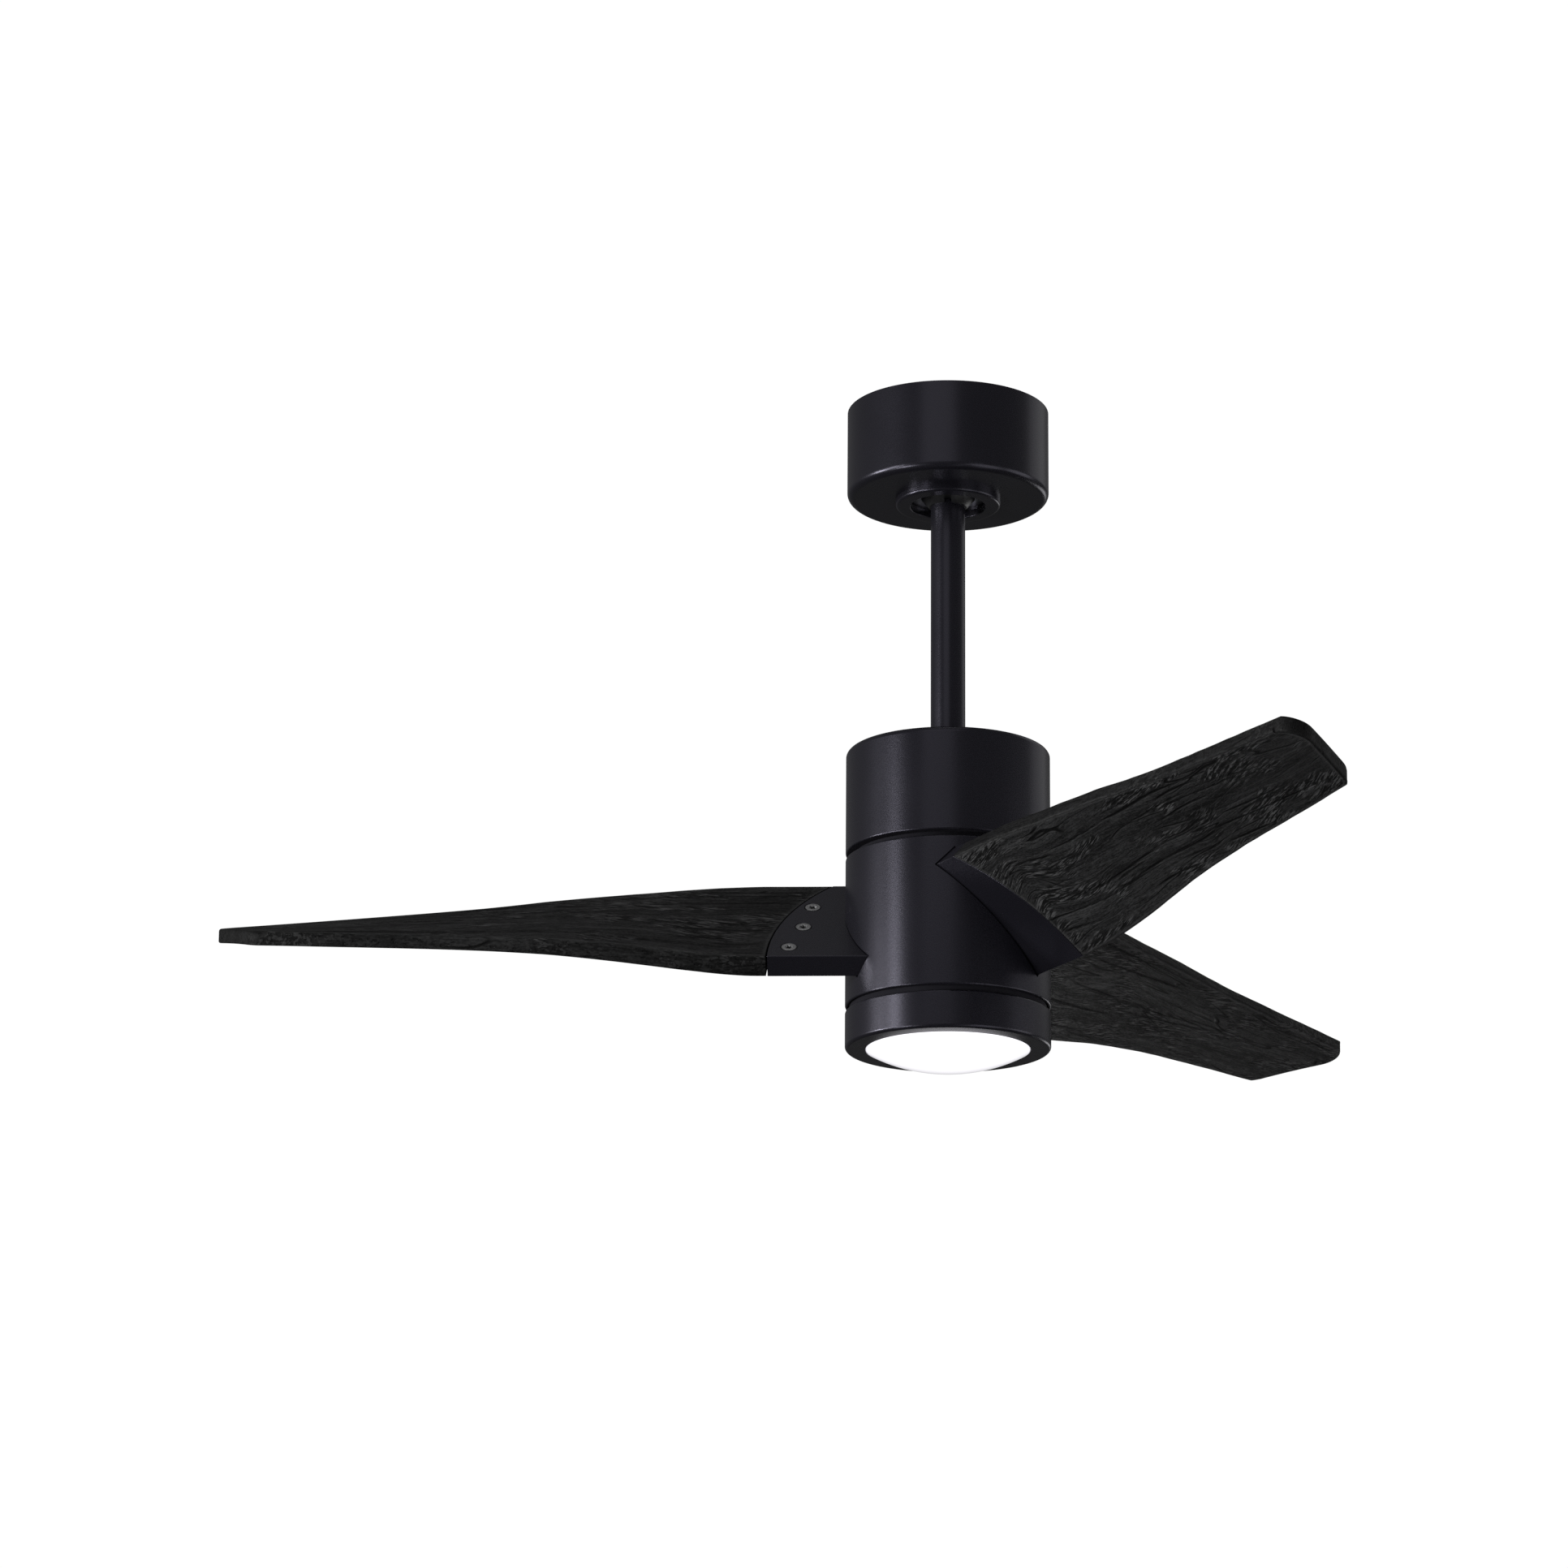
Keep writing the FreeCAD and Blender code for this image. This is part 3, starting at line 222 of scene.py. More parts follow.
# Each light: degrees round from straight in front (left is negative), degrees up, watts, size.
LIGHTS = {
    "key_side": (-80, -2, 42.0, SMALL_LIGHT),
    "key": (-60, 5, 15.0, SMALL_LIGHT),
    "key_low": (-50, -20, 18.0, SMALL_LIGHT),
    "front_high": (-10, 30, 5.0, BROAD_LIGHT),
    "fill_low": (45, -20, 11.0, BROAD_LIGHT),
    "fill_under": (40, -45, 5.0, BROAD_LIGHT),
    "side_right": (90, -10, 13.0, BROAD_LIGHT),
    "back_right": (150, -15, 6.0, LARGE_LIGHT),
    "back_high_right": (125, 30, 4.0, BROAD_LIGHT),
    "top": (0, 88, 3.0, LARGE_LIGHT),
}


def make_air():
    """White world light, brighter above the fan than below it."""
    world = bpy.data.worlds.new("studio_air")
    scene.world = world
    world.use_nodes = True
    tree = world.node_tree
    air = tree.nodes["Background"]
    air.inputs["Color"].default_value = (1, 1, 1, 1)
    way = tree.nodes.new("ShaderNodeTexCoord")
    axes = tree.nodes.new("ShaderNodeSeparateXYZ")
    level = tree.nodes.new("ShaderNodeMapRange")
    for name, value in zip(("From Min", "From Max", "To Min", "To Max"), AIR_RISE + AIR_GLOW):
        level.inputs[name].default_value = value
    tree.links.new(way.outputs["Generated"], axes.inputs[0])
    tree.links.new(axes.outputs["Z"], level.inputs["Value"])
    tree.links.new(level.outputs["Result"], air.inputs["Strength"])


def make_lights():
    """Soft lights all round, each aimed at the middle of the fan, the strongest far to its left."""
    scene.view_settings.view_transform = "Standard"
    for name, (azimuth, elevation, power, size) in LIGHTS.items():
        turn = math.radians(azimuth)
        rise = math.radians(elevation)
        flat = math.cos(rise)
        way = Vector((math.sin(turn) * flat, -math.cos(turn) * flat, math.sin(rise)))
        area_light(name, LIGHT_MIDDLE + way * LIGHT_DISTANCE, LIGHT_MIDDLE, size, power)


# Meshes.

def new_piece(name, points, faces):
    """Smooth-shaded object from points in metres and faces."""
    mesh = bpy.data.meshes.new(name)
    mesh.from_pydata([tuple(point) for point in points], [], [tuple(face) for face in faces])
    mesh.validate()
    mesh.polygons.foreach_set("use_smooth", [True] * len(mesh.polygons))
    piece = bpy.data.objects.new(name, mesh)
    scene.collection.objects.link(piece)
    return piece


def turned_piece(name, outline, count):
    """Surface of revolution about Z from an open outline of (radius, height) points in metres."""
    angles = np.arange(count) * 2 * math.pi / count
    rings = [np.stack([r * np.cos(angles), r * np.sin(angles), np.full(count, z)], 1) for r, z in outline]
    points = np.concatenate(rings)
    faces = []
    for ring in range(len(outline) - 1):
        a = ring * count
        b = a + count
        for index in range(count):
            after = (index + 1) % count
            faces.append((a + index, a + after, b + after, b + index))
    return new_piece(name, points, faces)


# Blades, in millimetres: x runs out from the fan's axis, y to the trailing side, z up;
# q runs along the chord and is y before the blade is pitched.

BLADE_ANGLES = (180.0, 300.0, 60.0)
ARM_PITCH = 42.3
HALF_CHORD = 54.3
ARM_THICK = 16.5
ARM_OFFSET = 2.5              # to the trailing side
ARM_Z = -395.6
BLADE_FREE = 135.0            # the blade keeps the arm's section out to here
SHOULDER_REACH = 240.0
SHOULDER_CHORD = 17.5
SHOULDER_THICK = 6.0
CHORD_TAPER = 0.05            # per millimetre outwards, as are the twist, sweep and droop
TWIST = 0.071                 # degrees
TWIST_START = 155.0
TWIST_EASE = 20.0
SWEEP = 0.07
SWEEP_START = 210.0
SWEEP_EASE = 50.0
LIFT = 5.5
LIFT_REACH = 165.0
DROOP = 0.0065
ARC_ENDS = ((84.4, -HALF_CHORD), (128.9, HALF_CHORD))   # the curved joint's ends at the two edges
ARC_BULGE = 11.5
TIP_ENDS = (548.0, 503.5)     # the tip's sharp corners, leading and trailing, from the axis
TIP_SIDE = 60.0
TIP_ROUNDS = (14.0, 20.0)
EDGE_ROUND = 1.7
TENON_DEPTH = 24.0
TENON_HALF = 3.0
TENON_SIDE = 6.5
JOINT_GAP = (0.14, 0.90)     # between wood and metal, at the leading and at the trailing edge
JOINT_SHARPNESS = 0.3        # share of the rims' rounding that the wood keeps along the joint
ALONG = 430                   # mesh faces along a blade
ACROSS = 96                   # and across it
RING_STEPS = 4                # steps of the rims' rounding
TIP_SEARCH = (440.0, 565.0)   # the tip's outline is looked for between these distances
SEARCH_STEPS = 36
FACE_LEVEL = 5.0              # about where the two faces stand near the tip
MID_DISTANCE = 300.0          # a rim ring's height is taken here while its outline is looked for
UNEVEN_START = 95             # the hand-cut unevenness sets in from here
UNEVEN_REACH = 60


def eased(x, start, reach):
    """Rises from 0 at start to 1 after reach, level at both ends."""
    share = np.clip((x - start) / reach, 0, 1)
    return share ** 2 * (3 - 2 * share)


def ramp(x, start, ease):
    """0 before start and the distance past it after, the corner between rounded."""
    past = np.clip(x - start + ease, 0, 2 * ease)
    return past ** 2 / (4 * ease) + np.maximum(x - start - ease, 0)


def section_at(x):
    """Pitch in radians, half chord, half thickness, offset and height at distances x."""
    shoulder = eased(x, BLADE_FREE, SHOULDER_REACH)
    free = np.maximum(x - BLADE_FREE, 0)
    pitch = ARM_PITCH - TWIST * ramp(x, TWIST_START, TWIST_EASE)
    half_chord = HALF_CHORD - (SHOULDER_CHORD * shoulder + CHORD_TAPER * free) / 2
    half_thick = (ARM_THICK - SHOULDER_THICK * shoulder) / 2
    offset = ARM_OFFSET - SWEEP * ramp(x, SWEEP_START, SWEEP_EASE)
    height = ARM_Z + LIFT * eased(x, BLADE_FREE, LIFT_REACH) - DROOP * free
    return np.radians(pitch), half_chord, half_thick, offset, height


def side_at(x, side):
    """Plan position of the leading (-1) or trailing (1) side."""
    pitch, half_chord, _, offset, _ = section_at(x)
    return np.array([x, offset + side * half_chord * np.cos(pitch)])


def tip_corners():
    """Centres of the tip's two rounded corners and the tip line's outward normal."""
    corners = np.array([side_at(x, side) for x, side in zip(TIP_ENDS, (-1, 1))])
    centres = []
    for index in (0, 1):
        back = side_at(TIP_ENDS[index] - TIP_SIDE, (-1, 1)[index]) - corners[index]
        other = corners[1 - index] - corners[index]
        first = back / np.linalg.norm(back)
        second = other / np.linalg.norm(other)
        half = math.acos(float(first @ second)) / 2
        bisector = (first + second) / np.linalg.norm(first + second)
        centres.append(corners[index] + bisector * TIP_ROUNDS[index] / math.sin(half))
    line = corners[1] - corners[0]
    normal = np.array([line[1], -line[0]]) / np.linalg.norm(line)
    return centres, normal, float(normal @ corners[0])


TIP_CENTRES, TIP_NORMAL, TIP_REACH = tip_corners()


def tip_edge(y, inset):
    """How far out the tip's outline is at each y."""
    x = (TIP_REACH - inset - TIP_NORMAL[1] * y) / TIP_NORMAL[0]
    for (cx, cy), size, side in zip(TIP_CENTRES, TIP_ROUNDS, (-1, 1)):
        radius = size - inset
        touch = cy + radius * TIP_NORMAL[1]
        beyond = (y - touch) * side > 0
        rounded = cx + np.sqrt(np.maximum(radius ** 2 - (y - cy) ** 2, 0))
        x = np.where(beyond, rounded, x)
    return x


def joint_edge(q, share, inset):
    """Where the wood starts, at chord position q; share runs 0 to 1 from leading to trailing."""
    start, end = (np.array(point) for point in ARC_ENDS)
    along = (end - start) / np.linalg.norm(end - start)
    half = np.linalg.norm(end - start) / 2
    radius = (half ** 2 + ARC_BULGE ** 2) / (2 * ARC_BULGE)
    centre = (start + end) / 2 + np.array([along[1], -along[0]]) * (ARC_BULGE - radius)
    gap = JOINT_GAP[0] + (JOINT_GAP[1] - JOINT_GAP[0]) * share ** 3
    return centre[0] + np.sqrt((radius + inset) ** 2 - (q - centre[1]) ** 2) + gap


def blade_places(a, b, inset, z):
    """Distance x and chord position q on the outline drawn in by an inset, at a height z.

    The share a runs from 0 at the root to 1 at the tip, b from -1 leading to 1 trailing.
    """
    share = (b + 1) / 2
    root = joint_edge(b * (HALF_CHORD - inset), share, inset * JOINT_SHARPNESS)
    low = np.full_like(b, TIP_SEARCH[0])
    high = np.full_like(b, TIP_SEARCH[1])
    for _ in range(SEARCH_STEPS):
        x = (low + high) / 2
        pitch, half_chord, _, offset, _ = section_at(x)
        y = offset + b * (half_chord - inset) * np.cos(pitch) + z * np.sin(pitch)
        short = x < tip_edge(y, inset)
        low = np.where(short, x, low)
        high = np.where(short, high, x)
    x = root + (low - root) * a
    half_chord = section_at(x)[1]
    return x, b * (half_chord - inset)


def into_place(x, q, z):
    """Tips flat blade coordinates to the section's pitch: points in the blade's frame."""
    pitch, _, _, offset, height = section_at(x)
    y = q * np.cos(pitch) + z * np.sin(pitch) + offset
    up = -q * np.sin(pitch) + z * np.cos(pitch) + height
    return np.stack([x, y, up], -1)


def value_noise(u, v, table):
    """Smooth random height between -1 and 1, one bump per unit."""
    size = table.shape[0]
    iu = np.floor(u).astype(int)
    iv = np.floor(v).astype(int)
    su = u - iu
    sv = v - iv
    su = su * su * (3 - 2 * su)
    sv = sv * sv * (3 - 2 * sv)
    top = table[iu % size, iv % size] * (1 - su) + table[(iu + 1) % size, iv % size] * su
    low = table[iu % size, (iv + 1) % size] * (1 - su) + table[(iu + 1) % size, (iv + 1) % size] * su
    return top * (1 - sv) + low * sv


NOISE_CELLS = 64
GROOVES = 34
GROOVE_DEPTH = 0.55
# The scraped faces' waves: (height, length, width).
SCRAPES = ((0.20, 55, 8.5), (0.12, 22, 4.2), (0.07, 9, 2.4))
# Each blade's knot, round which the grain bends: (x, q, how far it pushes, reach along, reach across).
KNOTS = {
    1: (300.0, 10.0, 7.0, 42.0, 22.0),
    2: (138.0, -14.0, 13.0, 24.0, 30.0),
    3: (235.0, -16.0, 8.0, 44.0, 20.0),
}


def scraped(x, q, side, random):
    """Hand-scraped relief in millimetres and how much of it is a groove, 0 to 1."""
    tables = random.uniform(-1, 1, (4, NOISE_CELLS, NOISE_CELLS))
    shift = 31.0 * side
    wave = q + 3.0 * value_noise(x / 70 + shift, q / 30, tables[0])
    relief = np.zeros_like(x)
    for table, (height, length, width) in zip(tables[1:], SCRAPES):
        relief += height * value_noise(x / length + shift, wave / width, table)
    groove = np.zeros_like(x)
    for _ in range(GROOVES):
        middle = random.uniform(90, 530)
        half = random.uniform(18, 95)
        place = random.uniform(-46, 46)
        slope = random.uniform(-0.035, 0.035)
        sway = random.uniform(0.4, 1.8)
        beat = random.uniform(28, 60)
        phase = random.uniform(0, 6.28)
        width = random.uniform(0.75, 1.2)
        depth = random.uniform(0.35, 1.0)
        line = place + slope * (x - middle) + sway * np.sin(x / beat + phase)
        fade = np.clip(1.25 - ((x - middle) / half) ** 2, 0, 1)
        groove = np.maximum(groove, depth * fade * np.exp(-((wave - line) / width) ** 2))
    return relief - GROOVE_DEPTH * groove, groove


def make_blade(number, angle):
    """Solid-wood blade: two scraped faces, rounded rims, tenon, and attributes for its material."""
    random = np.random.default_rng(40 + number)
    a = np.linspace(0, 1, ALONG + 1)
    even = np.linspace(-1, 1, ACROSS + 1)
    # The rows of points stand closer together towards the two edges.
    b = 0.6 * even + 0.4 * np.sin(np.pi / 2 * even)
    tables = random.uniform(-1, 1, (3, NOISE_CELLS, NOISE_CELLS))

    def waved(x, q, z, across):
        """Uneven outline of a piece cut and sanded by hand."""
        fade = np.clip((x - UNEVEN_START) / UNEVEN_REACH, 0, 1)
        edge = np.sign(across) * np.abs(across) ** 6
        sway = 0.18 * value_noise(x / 38 + 11 * number, across, tables[0])
        sway += 0.14 * value_noise(x / 13, across + 5, tables[1])
        lift = 0.22 * value_noise(x / 60 + 7, q / 30, tables[2])
        q = q + edge * (0.15 + fade * sway)
        return x, q, z + fade * lift

    grid_a, grid_b = np.meshgrid(a, b, indexing="ij")
    flat_a, flat_b = grid_a.ravel(), grid_b.ravel()
    # The relief fades out over a fortieth of the length and an eighth of the half chord.
    near_end = np.minimum(flat_a, 1 - flat_a) * 40
    near_side = np.minimum(flat_b + 1, 1 - flat_b) * 8
    near_rim = np.minimum(near_end, near_side)
    calm = np.clip(near_rim, 0, 1)
    points = []
    grain = []
    grooves = []
    edges = []
    ends = []

    def add(x, q, z, across, groove, edge, end, side):
        """Stores a set of points and what the material is told about them."""
        x, q, z = waved(x, q, z, across)
        points.append(into_place(x, q, z))
        swirl = 5.0 * value_noise(x / 90 + 3 * side, q / 40 + 2 * number, tables[0])
        knot_x, knot_q, push, reach_x, reach_q = KNOTS[number]
        swirl = swirl + push * np.exp(-((x - knot_x) / reach_x) ** 2 - ((q - knot_q) / reach_q) ** 2)
        # Every blade and face is cut from a different part of the wood.
        depth = np.full_like(x, 60.0 * side + 200.0 * number) + z
        grain.append(np.stack([x, q + swirl, depth], -1) * MM)
        grooves.append(groove)
        edges.append(edge)
        ends.append(end)

    def half_thick(x):
        """Half of the blade's thickness at distances x."""
        return section_at(x)[2]

    start = {}
    total = 0
    # The two faces.
    for side in (1, -1):
        x, q = blade_places(flat_a, flat_b, EDGE_ROUND, np.full_like(flat_b, side * FACE_LEVEL))
        relief, groove = scraped(x, q, side, random)
        z = side * (half_thick(x) + calm * relief)
        # Near the rims the faces get a painted highlight, passed on in the edge attribute.
        add(x, q, z, flat_b, groove * calm, np.clip(1.3 - near_rim * 4, 0, 1), 0 * x, side)
        start[side] = total
        total += len(x)
    # Rings of the rim from the upper face to the lower one: root, leading side, tip, trailing side.
    loop_a = np.concatenate([np.zeros(ACROSS), a[:-1], np.ones(ACROSS), a[:0:-1]])
    loop_b = np.concatenate([b[::-1][:-1], np.full(ALONG, -1.0), b[:-1], np.full(ALONG, 1.0)])
    loop_end = np.concatenate([np.ones(ACROSS), np.zeros(ALONG), np.ones(ACROSS), np.zeros(ALONG)])
    # Each ring of the rounding: its inset, its drop below the face and how much painted highlight it
    # gets.
    ring_levels = []
    for step in range(1, RING_STEPS):
        turn = math.pi / 2 * step / RING_STEPS
        rim_highlight = max(0.0, 1.6 - 0.6 * step)
        ring_levels.append((EDGE_ROUND * (1 - math.sin(turn)), EDGE_ROUND * (1 - math.cos(turn)), rim_highlight))
    ring_start = []

    def ring(inset, level, rim_highlight):
        """Stores one ring of points round the blade at a level that depends on the distance."""
        nonlocal total
        x, q = blade_places(loop_a, loop_b, inset, level(np.full_like(loop_a, MID_DISTANCE)))
        z = level(x)
        ring_start.append(total)
        total += len(x)
        # The painted highlight on the rounding changes at random along the rim.
        tone = 0.5 + 0.5 * value_noise(x / 14 + 5, z / 3, tables[1])
        end = np.maximum(loop_end, 0.55 * (1 - rim_highlight))
        add(x, q, z, loop_b, 0 * x, np.full_like(x, rim_highlight) * tone, end, 2)

    for inset, drop, rim_highlight in ring_levels:
        ring(inset, lambda x, d=drop: half_thick(x) - d, rim_highlight)
    # The wall's rows keep to the tenon's faces at the root.
    rows = [lambda x: half_thick(x) - EDGE_ROUND,
            lambda x: TENON_HALF + 0 * x,
            lambda x: TENON_HALF / 3 + 0 * x,
            lambda x: -TENON_HALF / 3 + 0 * x,
            lambda x: -TENON_HALF + 0 * x,
            lambda x: EDGE_ROUND - half_thick(x)]
    first_row = len(ring_start)
    for row in rows:
        ring(0.0, row, 0.0)
    for inset, drop, rim_highlight in ring_levels[::-1]:
        ring(inset, lambda x, d=drop: d - half_thick(x), rim_highlight)

    faces = []
    wide = ACROSS + 1
    for side in (1, -1):
        index = np.arange(ALONG)[:, None] * wide + np.arange(ACROSS)[None, :] + start[side]
        quad = np.stack([index, index + wide, index + wide + 1, index + 1], -1).reshape(-1, 4)
        faces.append(quad if side > 0 else quad[:, ::-1])
    loop = len(loop_a)
    rank = np.concatenate([np.arange(ACROSS, 0, -1), np.arange(ALONG) * wide,
                           ALONG * wide + np.arange(ACROSS), np.arange(ALONG, 0, -1) * wide + ACROSS])
    chain = [start[1] + rank] + [first + np.arange(loop) for first in ring_start] + [start[-1] + rank]
    # Loop positions of the tenon's two sides on the root.
    root_q = b[::-1][:-1] * HALF_CHORD
    inside = np.nonzero(np.abs(root_q) < HALF_CHORD - TENON_SIDE)[0]
    left, right = inside[0], inside[-1]
    top_row, low_row = first_row + 1, first_row + 4
    for level, (upper, lower) in enumerate(zip(chain, chain[1:])):
        quad = np.stack([upper, np.roll(upper, -1), np.roll(lower, -1), lower], -1)
        if top_row < level <= low_row:
            keep = np.ones(loop, bool)
            keep[left:right] = False
            quad = quad[keep]
        faces.append(quad[:, ::-1])
    # The tenon: the root's window pushed into the metal.
    window = np.array([[ring_start[row] + index for index in range(left, right + 1)]
                       for row in range(top_row, low_row + 1)])
    made = np.concatenate(points)
    near = made[window.ravel()]
    far = near - np.array([TENON_DEPTH, 0, 0])
    points.append(far)
    grain.append(np.concatenate(grain)[window.ravel()])
    for store in (grooves, edges):
        store.append(np.zeros(len(far)))
    ends.append(np.ones(len(far)))
    pushed = total + np.arange(len(far)).reshape(window.shape)
    total += len(far)
    inner = [(pushed[:-1, :-1], pushed[1:, :-1], pushed[1:, 1:], pushed[:-1, 1:])]
    inner.append((window[0, :-1], pushed[0, :-1], pushed[0, 1:], window[0, 1:]))
    inner.append((window[-1, 1:], pushed[-1, 1:], pushed[-1, :-1], window[-1, :-1]))
    inner.append((window[1:, 0], pushed[1:, 0], pushed[:-1, 0], window[:-1, 0]))
    inner.append((window[:-1, -1], pushed[:-1, -1], pushed[1:, -1], window[1:, -1]))
    for corners in inner:
        faces.append(np.stack([corner.ravel() for corner in corners], -1))

    local = np.concatenate(points) * MM
    spin = np.array(Matrix.Rotation(math.radians(angle), 3, "Z"))
    piece = new_piece("blade_wood_%d" % number, local @ spin.T, np.concatenate(faces))
    mesh = piece.data
    vector = mesh.attributes.new("grain", "FLOAT_VECTOR", "POINT")
    vector.data.foreach_set("vector", np.concatenate(grain).astype(np.float32).ravel())
    for name, store in (("groove", grooves), ("edge", edges), ("end", ends)):
        values = mesh.attributes.new(name, "FLOAT", "POINT")
        values.data.foreach_set("value", np.concatenate(store).astype(np.float32))
    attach(piece, "rotor")
    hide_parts("blade_%d" % number)
    return piece


SCREW_SPOTS = ((98.5, -20.9), (104.3, 9.3), (113.6, 40.0))   # (x, q) on each arm
SCREW_SIDES = 60
RECESS_R = 2.2
LOBES = 6
LOBE_DEPTH = 0.16             # as a share of the radius
ARM_DISTANCE = 100.0          # section_at gives the arm's own section here
# A screw from the foot of its shank over the head and down into the recess: (radius, height
# above the arm's face, share of the lobed shape, how much shade is painted on it).
SCREW_ROWS = (
    (2.45, -13.5, 0, 1), (2.45, -3.4, 0, 1), (5.35, -0.62, 0, 1), (5.62, -0.30, 0, 1),
    (5.66, -0.14, 0, 1), (5.52, -0.04, 0, 1), (5.20, 0.03, 0, 0), (4.2, 0.07, 0, 0),
    (3.2, 0.06, 0.2, 0), (RECESS_R + 0.35, 0.02, 0.8, 0), (RECESS_R, -0.18, 1, 0.3),
    (RECESS_R - 0.12, -1.6, 1, 1), (1.1, -2.0, 0.6, 1), (0.4, -2.2, 0, 0.6),
)


def make_screws():
    """All nine blade screws: shank, cone, rounded head and six-lobed recess."""
    count = SCREW_SIDES
    angles = np.arange(count) * 2 * math.pi / count
    points = []
    faces = []
    shades = []
    for angle in BLADE_ANGLES:
        for number, (x, q) in enumerate(SCREW_SPOTS):
            base = len(points)
            # Every recess stands at a turn of its own.
            lobes = angles + 0.7 * number + angle
            for radius, height, share, black in SCREW_ROWS:
                shades += [black] * count
                size = radius * (1 + LOBE_DEPTH * share * np.cos(LOBES * lobes))
                z = ARM_THICK / 2 + height
                for turn, r in zip(angles, size):
                    points.append((angle, x + r * math.cos(turn), q + r * math.sin(turn), z))
            for row in range(len(SCREW_ROWS) - 1):
                for index in range(count):
                    after = (index + 1) % count
                    a = base + row * count
                    faces.append((a + index, a + after, a + count + after, a + count + index))
            faces.append(tuple(base + index for index in range(count - 1, -1, -1)))
            top = base + (len(SCREW_ROWS) - 1) * count
            faces.append(tuple(top + index for index in range(count)))
    placed = []
    for angle, x, q, z in points:
        local = into_place(np.array([ARM_DISTANCE]), np.array([q]), np.array([z]))[0]
        local[0] = x
        placed.append(Matrix.Rotation(math.radians(angle), 3, "Z") @ Vector(local) * MM)
    piece = new_piece("blade_screw_heads", placed, faces)
    piece.data.attributes.new("painted_shade", "FLOAT", "POINT").data.foreach_set("value", shades)
    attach(piece, "rotor")
    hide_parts("blade_screws")
    return piece


# Materials.

# Drum grooves, in metres, whose skirts get painted shade: radius of the skirts in them, half height of a
# groove, and mid-heights.
SKIRT_RADIUS = 0.0733
SKIRT_BLUR = 0.0004
SKIRT_REACH = 0.0078
GROOVE_LEVELS = (-0.3413, -0.4551)


def black_metal():
    """Satin powder coat: faint orange peel, fine speckle and slow change of gloss, with painted shade in
    the drum's grooves.
    """
    look = Look("black_metal")
    here = look.place()
    slow = look.noise(here, 14.0, 3.0)
    speckle = look.noise(here, 1500.0, 2.0, 0.6)
    peel = look.noise(here, 420.0, 2.0)
    tone = look.math("MULTIPLY_ADD", slow, 0.45, look.math("MULTIPLY", speckle, 0.55))
    paint = look.colours(tone, [(0.25, (0.0096, 0.0092, 0.0126)), (0.75, (0.0138, 0.0132, 0.0180))])
    # The recessed skirts in the drum's two grooves get painted shade: near black, and matt.
    axes = look.node("ShaderNodeSeparateXYZ", [("Vector", here)])
    flat = look.stretched(here, (1.0, 1.0, 0.0))
    away = look.node("ShaderNodeVectorMath", [(0, flat)], operation="LENGTH").outputs["Value"]
    inside = look.spread(away, SKIRT_RADIUS + SKIRT_BLUR, SKIRT_RADIUS - SKIRT_BLUR)
    levels = [look.math("COMPARE", axes.outputs["Z"], level, SKIRT_REACH) for level in GROOVE_LEVELS]
    painted_groove_shade = look.math("MULTIPLY", inside, look.math("MAXIMUM", levels[0], levels[1]))
    look.plug(look.mixed(painted_groove_shade, paint, (0.0012, 0.0012, 0.0014)), "Base Color")
    gloss = look.math("MULTIPLY_ADD", speckle, 0.14, look.math("MULTIPLY", slow, 0.08))
    gloss = look.math("ADD", gloss, 0.17)
    look.plug(look.math("MULTIPLY_ADD", painted_groove_shade, 0.6, gloss), "Roughness")
    height = look.math("MULTIPLY_ADD", speckle, 0.45, look.math("MULTIPLY", peel, 0.9))
    look.bumps(height, 0.00005, 0.5)
    look.set(Specular_IOR_Level=0.62, Specular_Tint=(0.84, 0.81, 1.0, 1))
    return look.material


